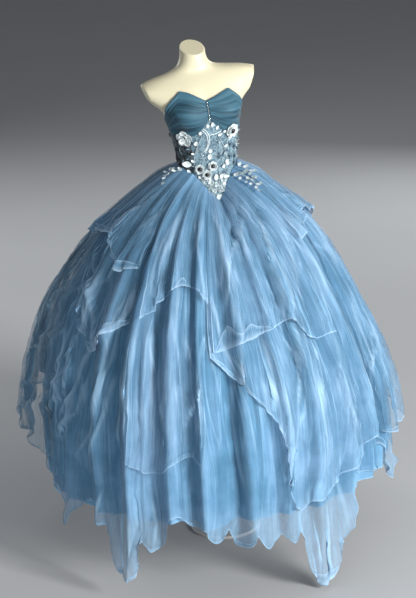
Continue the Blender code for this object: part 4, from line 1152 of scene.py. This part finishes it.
def makeTulleSheet(name, sheetSet, order):
    lane = sheetSet["lane"]
    first, last = sheetSet["hem"][0][0], sheetSet["hem"][-1][0]
    columns = int((last - first) * sheetShape["perDegree"][lane]) + 1
    rows = sheetSet.get("rows", sheetShape["rows"][lane])
    share = np.linspace(0.0, 1.0, columns)
    angle = first + share * (last - first)
    seed = 100 * lane if lane < 2 else 100 * lane + order

    hemAt = seamBased(angle, smoothRead(sheetSet["hem"], 1, angle))
    wildFrom, wildTo, wildness = sheetSet.get("wild", (0, 1, 1.0))
    wild = 1.0 + (wildness - 1.0) * ease((angle - wildFrom) / 8 + 1) * ease((wildTo - angle) / 8 + 1)
    hemNoise = noiseSum(angle, 0.0, seed + 1, (1.0, 9.0, 1.0), (0.35, 4.0, 1.0))
    hemAt = hemAt + sheetShape["hemNoise"] * hemNoise * (wild if lane else sheetShape["liningNoise"])
    turned = np.clip(smoothRead(sheetSet["hem"], 2, angle), *sheetShape["turned"])
    turned = np.minimum(turned * (0.75 + 0.45 * clothNoise(angle, 0.0, 5.0, 1.0, seed + 3)), hemAt * 0.3)
    drop, outer, hemLine = hemRows(hemAt, turned, rows)

    wide = angle + 0 * drop
    reach = smoothRead(skirtShape["rings"], 1, drop)
    start = sheetSet["away"][0][0] if lane else 1.0
    freed = ease((drop - start) / np.maximum(hemAt - start, 0.05))
    tip = sum(share for off, share in tipShare(wide, drop, 1.3, 0.25))
    folded = foldAngle(wide, drop)

    # folds: the shared creases, the sheet's own, fine gathers from the seam, and crumples
    crease = creaseLift(folded, drop, reach)
    folding, foldLine = foldLift(folded, drop, reach)
    own = clothNoise(folded + 5 * drop * np.sin(order), drop, 3.0, 0.50, seed + 5)
    own = sheetShape["ownFold"][lane] * (own + 0.8 * clothNoise(folded, drop, 1.8, 0.40, seed + 6))
    gathers = noiseSum(folded, drop, seed + 7, (1.0, 1.5, 0.40), (0.7, 0.9, 0.25))
    gathers = gathers * np.interp(drop, sheetShape["gatherDrops"], sheetShape["gatherShares"])
    crumple = 1.0 - 2.0 * np.abs(clothNoise(folded, drop, 4.0, 0.05, seed + 9)) ** 0.8
    crumple = crumple + 0.5 * (1.0 - 2.0 * np.abs(clothNoise(folded + 1.3, drop, 2.5, 0.035, seed + 10)))
    crumpleDepth = sheetShape["crumple"][lane] * sheetSet.get("crumple", 1.0) * (0.30 + 0.70 * freed)
    lift = crease + folding * sheetShape["foldShare"][lane] * sheetSet.get("folds", 1.0)
    lift = lift + own * ease(drop / 0.25) * (1.0 + 2.6 * tip) + sheetShape["gather"] * gathers
    lift = lift + crumpleDepth * (crumple - 0.5) * ease(drop / 0.3)

    # free towards the hem: the cloth stands off and ripples, and the edge nearest the front may lie back
    phase = noiseSum(angle, 0.0, seed + 11, (2.2, 12.0, 1.0), (1.2, 6.0, 1.0))
    ripple = np.radians(angle) * 0.5 / sheetShape["rippleWidth"] + 2.4 * phase + 3.0 * drop
    resting = ease((last - angle) / sheetSet["rest"]) if "rest" in sheetSet else 1.0
    ruffle = wild * (0.65 + 0.5 * clothNoise(angle, 0.0, 9.0, 1.0, seed + 13)) * (0.3 + 0.7 * resting)
    ruffle = sheetSet["ruffle"] * freed ** sheetSet.get("grow", 1.3) * ruffle
    lift = lift + straightRead(sheetSet["away"], 1, drop) * resting + outer + ruffle * (0.5 + 0.5 * np.sin(ripple))
    lift = lift + (sheetShape["laneSpread"] - 1.0) * lane * smoothRead(skirtShape["rings"], 3, drop)

    # the sides of each fold lean over it, and a ruffle doubles back on itself
    spacing = np.radians(last - first) / (columns - 1) * np.maximum(reach, 0.1)
    slope = np.gradient(lift, axis=1) / spacing
    lean = np.clip(sheetShape["pinch"] * slope, -sheetShape["mostLean"], sheetShape["mostLean"])
    lean = ruffle * 0.55 * np.cos(ripple) - lean
    fadeShare = 0.05 if lane > 1 else 0.01
    lean = lean * ease(share / fadeShare) * ease((1 - share) / fadeShare)
    drift = 0.0
    if lane > 1:
        drift = noiseSum(wide, drop, seed + 14, (3.0, 30.0, 0.40), (0.5, 15.0, 0.20)) * ease(drop / 0.35)
    points = skirtPoint(wide + np.degrees(lean / np.maximum(reach, 0.1)) + drift, drop, lane, lift)

    # values for the material
    normal = unit(np.cross(np.gradient(points, axis=0), np.gradient(points, axis=1)))
    plain = skirtPoint(wide, drop, lane, 0.0)
    plainNormal = unit(np.cross(np.gradient(plain, axis=0), np.gradient(plain, axis=1)))
    facing = (normal * plainNormal).sum(axis=-1, keepdims=True)
    steep = np.clip(1.0 / np.maximum(np.abs(facing[..., 0]), 0.15), 1.0, sheetShape["mostSteep"])
    steep[rows:] = np.clip(steep[rows:], 1.0, 1.5)
    # painted shade and painted light in soft patches, added to the painted fold shading and to the random mottle
    shade = paintedShadeAt(wide, drop)
    # painted fold shading: darker in creases and in the big folds' valleys, paler on their ridges
    relief = (crease + own) / sheetShape["relief"]
    paintedFoldShade = 0.62 + 0.34 * relief + 0.10 * mainWave(angle) + 0.10 * gathers + 1.7 * shade
    mottleAndPaintedShade = 0.5 + noiseSum(wide, drop, seed + 16, (0.35, 5.0, 0.10), (0.25, 2.0, 0.05)) + shade
    whole = np.ones_like(drop)
    if lane > 1:
        nearSide = np.minimum(share, 1 - share) * math.radians(last - first) * np.maximum(reach, 0.05)
        lowPart = ease((drop / hemAt - 0.55) / 0.25)
        whole = 0.12 + 0.88 * np.maximum(ease(nearSide / 0.05), lowPart)
        hemLine = np.maximum(hemLine, np.clip(1.7 - nearSide / 0.0022, 0, 1) * lowPart * 0.8)
    foldLine = foldLine * np.minimum(sheetSet.get("edge", sheetShape["foldEdge"][lane]) + 0.45 * tip, 1.0)
    hemLine = np.maximum(hemLine * sheetSet.get("hemShade", 1.0), foldLine)
    wander = noiseSum(wide, drop, seed + 18, (0.006, 6.0, 0.16), (0.012, 15.0, 0.35))
    uv = np.stack([np.radians(angle) * sheetShape["wrapWidth"] + wander, drop + 2.0 * outer], axis=-1)
    values = {"paintedFoldShade": np.clip(paintedFoldShade, 0, 1), "mottleAndPaintedShade": np.clip(mottleAndPaintedShade, 0, 1), "hem": hemLine, "steep": steep,
              "whole": whole}
    piece = gridSheet(name, points, uv, values, tulle[sheetSet["net"]])
    softness = (sheetSet.get("soft", sheetShape["softness"][lane]) * (1.0 - 0.65 * tip))[..., None]
    soft = unit(normal * (1.0 - softness) + plainNormal * np.sign(facing + 1e-9) * softness)
    piece.data.normals_split_custom_set_from_vertices(soft.reshape(-1, 3).tolist())
    takePlace(piece, "tulle", nodeOf(name))

    # the flat cloth: the longest line down the sheet, and the way round it where it is widest
    tall = float(np.linalg.norm(np.diff(points, axis=0), axis=-1).sum(axis=0).max())
    cutWidth = float(np.linalg.norm(np.diff(points[:rows, :, :2], axis=1), axis=-1).sum(axis=1).max())
    cutWidth, tall = round(cutWidth + 0.0005, 3), round(tall + 0.0005, 3)
    return len(piece.data.polygons) * 2


triangles = sum(makeTulleSheet(name, sheetSet, order) for order, (name, sheetSet) in enumerate(tulleSheets.items()))
print("skirt hung:", len(tulleSheets), "sheets,", triangles, "triangles")


# flowers, leaves and beads

def petalMaterial(name, first, second, roughness):
    return noisyMaterial(name, first, second, 120.0, roughness, 900.0, 0.3, 0.0006, detail=2.0, Sheen_Weight=0.3)


petalWhite = petalMaterial("petalWhite", (0.46, 0.54, 0.56, 1), (0.78, 0.83, 0.84, 1), 0.55)
petalGrey = petalMaterial("petalGrey", (0.19, 0.27, 0.30, 1), (0.40, 0.49, 0.52, 1), 0.6)
petalBlue = petalMaterial("petalBlue", (0.060, 0.125, 0.185, 1), (0.175, 0.285, 0.370, 1), 0.65)
# petals with painted shade, for the motifs on the left side
petalPaintedShade = petalMaterial("petalPaintedShade", (0.010, 0.020, 0.026, 1), (0.040, 0.065, 0.080, 1), 0.6)
cordPale = petalMaterial("cordPale", (0.24, 0.33, 0.37, 1), (0.44, 0.53, 0.56, 1), 0.5)
blackBead = plainMaterial("blackBead", (0.004, 0.004, 0.006, 1), (0.012, 0.012, 0.016, 1), 80.0, 0.12, 0.02)
silverBead = plainMaterial("silverBead", (0.62, 0.68, 0.70, 1), (0.80, 0.85, 0.87, 1), 60.0, 0.18, 0.02,
                           Metallic=0.85)


def placeFrame(point, normal, turn):
    # x across, y along the turn (0 is up, 90 towards +X), z out of the cloth
    outward = Vector(normal)
    right = Vector((0.0, 0.0, 1.0)).cross(outward).normalized()
    basis = Matrix((right, outward.cross(right), outward)).transposed().to_4x4()
    return Matrix.Translation(Vector(point)) @ basis @ Matrix.Rotation(-math.radians(turn), 4, "Z")


def bodicePlace(angle, height, out, turn):
    return placeFrame(bodicePoint(angle, height, out), bodyNormal(np.float64(angle), np.float64(height)), turn)


def skirtPlace(angle, drop, out, turn):
    def at(besideAngle, belowDrop):
        return skirtPoint(angle + besideAngle, drop + belowDrop, 3, out + sprigOut["overDrapes"])

    normal = unit(np.cross(at(1, 0) - at(-1, 0), at(0, -0.01) - at(0, 0.01)))
    return placeFrame(at(0, 0), normal, turn)


def tilted(seat, degrees):
    return seat @ Matrix.Rotation(math.radians(degrees), 4, "X")


def selectOnly(*pieces):
    bpy.ops.object.select_all(action="DESELECT")
    for piece in pieces:
        piece.select_set(True)
    bpy.context.view_layer.objects.active = pieces[0]


def pickVerts(blank, test):
    bpy.ops.object.mode_set(mode="OBJECT")
    for vertex in blank.data.vertices:
        vertex.select = bool(test(vertex.co))
    bpy.ops.object.mode_set(mode="EDIT")


def makeBlank(name, sides, cup, point, waist, smoothing):
    # a petal or leaf one unit long: a round of cloth, dished, with its tip drawn out and its foot drawn in
    bpy.ops.object.select_all(action="DESELECT")
    bpy.ops.mesh.primitive_circle_add(vertices=sides, radius=0.5, fill_type="NGON", location=(0.0, 0.5, 0.0))
    blank = bpy.context.object
    blank.name = name
    bpy.ops.object.transform_apply(location=True)
    bpy.ops.object.mode_set(mode="EDIT")
    bpy.ops.mesh.select_mode(type="VERT")
    bpy.ops.mesh.select_all(action="SELECT")
    bpy.ops.mesh.inset(thickness=0.17, depth=-cup)
    bpy.ops.mesh.inset(thickness=0.15, depth=-cup * 0.6)
    pickVerts(blank, lambda co: co.y > 0.96)
    bpy.ops.transform.translate(value=(0.0, point, point * 0.25))
    pickVerts(blank, lambda co: co.y < 0.25)
    bpy.ops.transform.resize(value=(waist, 1.0, 1.0), center_override=(0.0, 0.0, 0.0))
    bpy.ops.object.mode_set(mode="OBJECT")
    if smoothing:
        for kind, label in (("SUBSURF", "rounder"), ("SOLIDIFY", "wall")):
            blank.modifiers.new(label, kind)
        blank.modifiers["rounder"].levels = blank.modifiers["rounder"].render_levels = 1
        blank.modifiers["wall"].thickness = 0.05
        for label in ("rounder", "wall"):
            bpy.ops.object.modifier_apply(modifier=label)
    bpy.ops.object.shade_smooth()
    return blank


def copyOf(blank, place, width, length, material):
    leaf = bpy.data.objects.new(blank.name + "Copy", blank.data.copy())
    leaf.data.transform(place @ Matrix.Diagonal((width, length, length, 1.0)))
    leaf.data.materials.append(material)
    scene.collection.objects.link(leaf)
    return leaf


def joinPieces(name, pieces, slot, *nodes):
    selectOnly(*pieces)
    if len(pieces) > 1:
        bpy.ops.object.join()
    whole = bpy.context.view_layer.objects.active
    whole.name = whole.data.name = name
    whole.select_set(False)
    takePlace(whole, slot, *nodes)


def beadCopies(name, places, sizes):
    # many small silver beads as one mesh, all from one round bead
    bpy.ops.object.select_all(action="DESELECT")
    bpy.ops.mesh.primitive_ico_sphere_add(subdivisions=2, radius=1.0, location=(0.0, 0.0, 0.0))
    bead = bpy.context.object
    corners = np.array([vertex.co[:] for vertex in bead.data.vertices])
    faces = np.array([face.vertices[:] for face in bead.data.polygons])
    bpy.data.objects.remove(bead, do_unlink=True)
    points = (corners[None] * np.array(sizes)[:, None, None] + np.array(places)[:, None, :]).reshape(-1, 3)
    allFaces = (faces[None] + (np.arange(len(places)) * len(corners))[:, None, None]).reshape(-1, 3)
    mesh = bpy.data.meshes.new(name)
    mesh.from_pydata(points.tolist(), [], allFaces.tolist())
    mesh.materials.append(silverBead)
    mesh.shade_smooth()
    beads = bpy.data.objects.new(name, mesh)
    scene.collection.objects.link(beads)
    return beads


def cordAlong(name, points, radius, material):
    curve = bpy.data.curves.new(name, "CURVE")
    curve.dimensions, curve.bevel_depth, curve.bevel_resolution = "3D", radius, 1
    curve.use_fill_caps = True
    line = curve.splines.new("POLY")
    line.points.add(len(points) - 1)
    for corner, point in zip(line.points, points):
        corner.co = (*point, 1.0)
    stem = bpy.data.objects.new(name, curve)
    scene.collection.objects.link(stem)
    selectOnly(stem)
    bpy.ops.object.convert(target="MESH")
    stem = bpy.context.object
    stem.data.materials.clear()
    stem.data.materials.append(material)
    return stem


leafBlank = makeBlank("leafBlank", 8, 0.10, 0.28, 0.55, True)
petalBlank = makeBlank("petalBlank", 10, 0.12, 0.04, 0.50, True)
smallLeafBlank = makeBlank("smallLeafBlank", 6, 0.10, 0.25, 0.60, False)

bloomRings = {
    # rings of petals (number, reach, width, tilt)
    "loose": ((5, 1.10, 1.05, 8), (4, 0.80, 0.95, 36), (2, 0.45, 0.90, 62)),
    "rose": ((7, 1.05, 1.05, 6), (6, 0.84, 0.95, 34), (5, 0.42, 0.95, 50)),
    "cup": ((7, 1.05, 1.15, 20), (6, 0.92, 1.15, 56)),
}
flowerSet = {
    # flower: angle, height, radius, centre bead (share of the radius), shape
    "flowerBustRight": (46.0, 0.136, 0.0275, 0.33, "rose"),
    "flowerBustLeft": (-55.0, 0.124, 0.0275, 0.0, "loose"),
    "flowerWaistLeft": (-33.0, -0.001, 0.0175, 0.44, "cup"),
    "flowerWaistMiddle": (-2.0, 0.009, 0.0175, 0.44, "cup"),
    "flowerWaistLow": (-17.0, -0.024, 0.0175, 0.44, "cup"),
}
flowerOut = {"petals": 0.0060, "level": 0.0012, "bead": 0.0065, "anthers": 0.0034, "beadFlat": 0.62}


def makeFlower(name, angle, height, radius, centre, shape):
    rng = np.random.default_rng(int(abs(angle) * 10))
    foot = Matrix.Translation((0.0, radius * max(centre * 0.8, 0.10), 0.0))
    petals = []
    for level, (count, reach, wide, tilt) in enumerate(bloomRings[shape]):
        for number in range(count):
            turn = 360.0 * (number + 0.5 * level) / count + rng.uniform(-9, 9)
            seat = bodicePlace(angle, height, flowerOut["petals"] + flowerOut["level"] * level, turn)
            length = radius * reach * (1.0 - centre * 0.55)
            seat = tilted(seat @ foot, tilt + rng.uniform(-7, 7))
            petals.append(copyOf(petalBlank, seat, length * wide, length, petalWhite))
    joinPieces(name, petals, "petals", nodeOf(name))
    if centre:
        bpy.ops.object.select_all(action="DESELECT")
        bpy.ops.mesh.primitive_uv_sphere_add(segments=24, ring_count=12, radius=radius * centre)
        bead = bpy.context.object
        bpy.ops.object.shade_smooth()
        flat = Matrix.Diagonal((1.0, 1.0, flowerOut["beadFlat"], 1.0))
        bead.data.transform(bodicePlace(angle, height, flowerOut["petals"] + flowerOut["bead"], 0.0) @ flat)
        bead.data.materials.append(blackBead)
        joinPieces(name + "Centre", [bead], "flower_centre", nodeOf(name + "Centre"))
        out, beside = flowerOut["petals"] + flowerOut["anthers"], Vector((0.0, radius * (centre + 0.05), 0.0))
        ring = [bodicePlace(angle, height, out, turn) @ beside for turn in range(0, 360, 24)]
        joinPieces(name + "Anthers", [beadCopies(name + "Anthers", ring, [0.0009] * len(ring))], "petals")


for name, row in flowerSet.items():
    makeFlower(name, *row)
print("flowers made")

sprigOut = {"cord": 0.0040, "leaf": 0.0062, "overDrapes": 0.003675, "tilt": 14.0, "hipSize": 1.15, "cordRadius": 0.0012}
sprigSet = {
    # sprig: surface, cord's knots, leaves (angle, height or drop, turn, length, width, pointed)
    "sprigLaceLeft": (
        bodicePlace, ((-44, 0.020), (-40, 0.060), (-30, 0.100), (-22, 0.128)),
        ((-25, 0.136, 10, 0.016, 0.012, 0), (-35, 0.092, -10, 0.017, 0.013, 0), (-41, 0.058, -60, 0.013, 0.008, 1),
         (-37, 0.070, 70, 0.012, 0.008, 1), (-31, 0.104, -70, 0.012, 0.008, 1), (-44, 0.026, -30, 0.015, 0.010, 1))),
    "sprigLaceRight": (
        bodicePlace, ((30, 0.000), (34, 0.040), (28, 0.080), (16, 0.124)),
        ((14, 0.124, 60, 0.017, 0.010, 1), (28, 0.134, 20, 0.013, 0.011, 0), (29, 0.076, 50, 0.014, 0.009, 1),
         (33, 0.046, -40, 0.013, 0.009, 1), (31, 0.018, 60, 0.015, 0.010, 0), (27, -0.006, -20, 0.016, 0.012, 0),
         (34, 0.004, 40, 0.015, 0.011, 0), (21, 0.096, -70, 0.013, 0.008, 1))),
    "sprigBasque": (
        bodicePlace, ((12, -0.010), (14, -0.034), (10, -0.062), (5, -0.098)),
        ((4, -0.050, 0, 0.022, 0.015, 1), (16, -0.044, 10, 0.017, 0.013, 0), (24, -0.046, 30, 0.016, 0.013, 0),
         (21, -0.058, 60, 0.015, 0.010, 1), (3, -0.104, 190, 0.016, 0.012, 0), (9, -0.106, 150, 0.016, 0.012, 0),
         (-6, -0.100, 200, 0.015, 0.011, 0), (13, -0.088, 100, 0.013, 0.009, 1), (-13, -0.086, 220, 0.013, 0.010, 0),
         (6, -0.112, 175, 0.013, 0.010, 0))),
    "leafWaistLeft": (
        bodicePlace, ((-66, 0.022), (-50, 0.018)),
        ((-49, 0.016, -78, 0.033, 0.022, 1), (-52, -0.014, -60, 0.014, 0.010, 1))),
    "sprigHipLeft": (
        skirtPlace, ((-62, 0.006), (-68, 0.012), (-76, 0.020), (-71, 0.044)),
        ((-63, 0.006, -60, 0.014, 0.009, 1), (-66, 0.010, 30, 0.012, 0.008, 0), (-68, 0.014, -110, 0.015, 0.010, 1),
         (-72, 0.016, -20, 0.013, 0.009, 0), (-76, 0.018, -70, 0.015, 0.011, 0), (-78, 0.024, -120, 0.014, 0.010, 1),
         (-74, 0.027, 100, 0.013, 0.009, 0), (-76, 0.030, 170, 0.012, 0.009, 0), (-71, 0.036, 200, 0.014, 0.009, 1),
         (-67, 0.044, 190, 0.017, 0.009, 1))),
    "sprigHipRight": (
        skirtPlace, ((36, 0.004), (43, 0.016), (45, 0.034), (43, 0.060)),
        ((38, 0.004, 100, 0.016, 0.011, 0), (40, 0.010, 60, 0.015, 0.010, 1), (42, 0.010, 130, 0.014, 0.010, 0),
         (44, 0.016, 90, 0.016, 0.011, 1), (41, 0.020, 200, 0.014, 0.009, 1), (47, 0.022, 60, 0.015, 0.010, 0),
         (44, 0.028, 140, 0.015, 0.010, 1), (48, 0.030, 80, 0.014, 0.009, 0), (45, 0.038, 160, 0.014, 0.009, 1),
         (41, 0.034, 220, 0.012, 0.008, 1), (44, 0.052, 130, 0.014, 0.009, 1), (42, 0.064, 190, 0.013, 0.008, 1),
         (39, 0.017, 150, 0.013, 0.009, 0), (47, 0.036, 110, 0.014, 0.010, 1), (42, 0.043, 210, 0.013, 0.009, 0),
         (48, 0.044, 70, 0.013, 0.009, 1), (42, 0.054, 170, 0.013, 0.009, 1), (46, 0.058, 100, 0.013, 0.009, 0))),
    "sprigHipSide": (
        skirtPlace, ((56, 0.004), (58, 0.018), (56, 0.034)),
        ((55, 0.004, 60, 0.014, 0.009, 1), (58, 0.008, 20, 0.013, 0.008, 1), (57, 0.014, 100, 0.014, 0.010, 0),
         (60, 0.020, 60, 0.014, 0.009, 1), (57, 0.026, 140, 0.014, 0.009, 1), (59, 0.034, 90, 0.013, 0.009, 0))),
}


def cordPoints(surface, knots, out):
    # a smooth line through the knots, along the cloth
    steps = np.linspace(0, len(knots) - 1, 6 * (len(knots) - 1) + 1)
    table = [(number, *knot) for number, knot in enumerate(knots)]
    return [surface(float(angle), float(height), out, 0.0).translation[:]
            for angle, height in zip(smoothRead(table, 1, steps), smoothRead(table, 2, steps))]


def makeSprig(name, surface, knots, leaves):
    size, greyEvery = (sprigOut["hipSize"], 2) if surface is skirtPlace else (1.0, 4)
    cord = cordPoints(surface, knots, sprigOut["cord"])
    pieces = [cordAlong(name + "Cord", cord, sprigOut["cordRadius"], cordPale)]
    for number, (angle, height, turn, length, width, pointed) in enumerate(leaves):
        seat = tilted(surface(angle, height, sprigOut["leaf"], turn), sprigOut["tilt"] + 5 * (number % 3))
        pieces.append(copyOf(leafBlank if pointed else petalBlank, seat, width * 1.25 * size, length * size,
                             petalGrey if number % greyEvery == greyEvery - 1 else petalWhite))
    joinPieces(name, pieces, "petals", nodeOf(name))


for name, row in sprigSet.items():
    makeSprig(name, *row)
print("sprigs made")

laceTrim = {
    "whiteStems": 3,
    "stems": (
        ((-17, 0.158), (-9, 0.142), (-5, 0.120), (-7, 0.094), (-18, 0.062)),
        ((-19, 0.152), (-12, 0.134), (-9, 0.114), (-10, 0.092), (-20, 0.066)),
        ((-4, 0.130), (8, 0.132), (22, 0.140)),
        ((47, 0.108), (38, 0.090), (42, 0.066), (36, 0.044), (44, 0.022)),
        ((16, 0.086), (24, 0.066), (18, 0.044), (26, 0.026)),
        ((-28, 0.060), (-22, 0.036), (-26, 0.020)),
        ((-30, -0.040), (-20, -0.062), (-8, -0.080), (0, -0.100)),
        ((30, -0.020), (22, -0.038), (14, -0.066), (8, -0.094)),
        ((-64, 0.100), (-72, 0.070), (-66, 0.040), (-74, 0.014)),
        ((66, 0.110), (72, 0.080), (66, 0.050), (74, 0.020)),
    ),
    "roses": (
        # angle, height, radius
        (47, 0.080, 0.011), (60, 0.066, 0.010), (20, 0.044, 0.012), (34, 0.060, 0.009), (46, 0.034, 0.011),
        (62, 0.030, 0.010), (76, 0.050, 0.010), (72, 0.092, 0.010), (-61, 0.088, 0.012), (-66, 0.046, 0.012),
        (-80, 0.070, 0.010), (-82, 0.030, 0.010), (-74, 0.014, 0.010), (-50, 0.064, 0.009), (-28, -0.064, 0.012),
        (-8, -0.070, 0.012), (8, -0.082, 0.010), (-24, -0.040, 0.010), (26, -0.024, 0.009), (60, 0.004, 0.010),
        (105, 0.120, 0.011), (118, 0.060, 0.012), (138, 0.100, 0.011), (152, 0.040, 0.011), (-105, 0.120, 0.011),
        (-118, 0.060, 0.012), (-138, 0.100, 0.011), (-152, 0.040, 0.011),
    ),
    "topPetals": ((-6, 0.156, -12, 0.018, 0.012), (5, 0.160, 0, 0.019, 0.012), (13, 0.148, 18, 0.018, 0.012),
                  (-9, 0.034, 10, 0.023, 0.019), (-6, 0.058, 5, 0.019, 0.016), (-38, -0.048, -80, 0.027, 0.014)),
    # smooth looped flowers in silver on the basque: angle, height, size, turn
    "loops": ((-30, -0.062, 0.015, -70), (-22, -0.074, 0.013, -150), (-10, -0.062, 0.015, 40), (-4, -0.080, 0.014, 160),
              (6, -0.068, 0.014, -40), (10, -0.086, 0.012, 100), (-14, -0.050, 0.012, 0), (18, -0.070, 0.012, 60)),
    "roseRings": ((6, 1.0, 14), (5, 0.74, 38), (3, 0.42, 64)),   # number, reach, tilt
    "backBeads": 0.16,       # height that the back's beads stay under
    "bustBeads": {"sizes": [0.0027, 0.0018, 0.0023] * 4 + [0.0026], "top": 0.249, "step": 0.0050, "out": 0.0064},
    "basqueLeaves": 34,
    "smallLeaves": 150,
    "fringe": 22,
    "beads": 110,
    "seed": 5,
}


def highEdge(angle):
    # the lace's upper edge
    return float(straightRead(bustSet["floor"] if abs(angle) < 92 else laceSet["backTop"], 1, abs(angle)))


def makeLaceTrim():
    rng = np.random.default_rng(laceTrim["seed"])
    pieces = []
    for number, knots in enumerate(laceTrim["stems"]):
        cloth = petalWhite if number < laceTrim["whiteStems"] else cordPale
        pieces.append(cordAlong("laceCord", cordPoints(bodicePlace, knots, 0.0022), 0.0015, cloth))
    for angle, height, turn, length, width in laceTrim["topPetals"]:
        seat = tilted(bodicePlace(angle, height, 0.0032, turn), 12)
        pieces.append(copyOf(petalBlank, seat, width, length, petalWhite))
    for angle, height, radius in laceTrim["roses"]:
        # roses on the left side take petals with painted shade
        cloth = petalPaintedShade if angle < -44 else petalGrey if height < -0.03 else petalBlue
        for level, (count, reach, tilt) in enumerate(laceTrim["roseRings"]):
            for number in range(count):
                turn = 360.0 * (number + 0.4 * level) / count + height * 900
                seat = tilted(bodicePlace(angle, height, 0.0016 + 0.0006 * level, turn), tilt)
                pieces.append(copyOf(smallLeafBlank, seat, radius * reach, radius * reach, cloth))
    for angle, height, size, turn in laceTrim["loops"]:
        # a ring of cord pulled to a point, with a petal inside it
        seat = bodicePlace(angle, height, 0.0030, turn)
        ring = [seat @ Vector((size * 0.42 * math.sin(t), size * (0.5 - 0.5 * math.cos(t)), 0.0012 * math.sin(t / 2)))
                for t in np.linspace(0.0, 2 * math.pi, 17)]
        pieces.append(cordAlong("loop", ring, 0.0013, petalWhite))
        pieces.append(copyOf(petalBlank, seat, size * 0.55, size * 0.75, petalGrey))
    for number in range(laceTrim["basqueLeaves"]):
        angle = rng.uniform(-34, 30)
        height = rng.uniform(max(0.004 - float(seamDrop(angle)), -0.114), -0.034)
        seat = tilted(bodicePlace(angle, height, 0.0026, rng.uniform(0, 360)), 18)
        pieces.append(copyOf((leafBlank, petalBlank)[number % 2], seat, 0.009, 0.013,
                             petalGrey if number % 3 else petalWhite))
    for number in range(laceTrim["smallLeaves"] + laceTrim["fringe"]):
        atSide = number >= laceTrim["smallLeaves"]
        angle = rng.uniform(60, 90) if atSide else rng.uniform(-178, 178)
        height = rng.uniform(0.010 - float(seamDrop(angle)), highEdge(angle) - 0.010)
        length = rng.uniform(0.005, 0.009) if atSide else rng.uniform(0.008, 0.015)
        tilt = rng.uniform(40, 75) if atSide else 15
        cloth = petalGrey if number % 5 in (1, 4) else petalBlue
        if atSide:
            cloth = petalWhite
        # small leaves on the left side mostly take petals with painted shade
        elif -92 < angle < -44:
            cloth = petalPaintedShade if number % 3 else petalBlue
        seat = tilted(bodicePlace(angle, height, 0.0016, rng.uniform(0, 360)), tilt)
        pieces.append(copyOf(smallLeafBlank, seat, length * 0.5, length, cloth))
    joinPieces("laceMotifs", pieces, "lace")

    places, sizes = [], []
    for number in range(laceTrim["beads"]):
        angle = rng.uniform(-178, 178) if number % 3 == 0 else rng.uniform(-50, 60)
        high = highEdge(angle) if abs(angle) < 92 else laceTrim["backBeads"]
        places.append(bodicePoint(angle, rng.uniform(0.006 - float(seamDrop(angle)), high - 0.006), 0.0020))
        sizes.append(rng.choice((0.0008, 0.0010, 0.0014)))
    joinPieces("laceBeads", [beadCopies("laceBeads", places, sizes)], "lace")

    # the row down the bust's band, in a slight zigzag
    rowSet = laceTrim["bustBeads"]
    row = [bodicePoint(1.7 * math.sin(2.4 * t), rowSet["top"] - rowSet["step"] * t, rowSet["out"])
           for t in range(len(rowSet["sizes"]))]
    joinPieces("bustBeads", [beadCopies("bustBeads", row, rowSet["sizes"])], "lace")


makeLaceTrim()
for blank in (leafBlank, petalBlank, smallLeafBlank):
    bpy.data.objects.remove(blank, do_unlink=True)
print("lace trimmed")
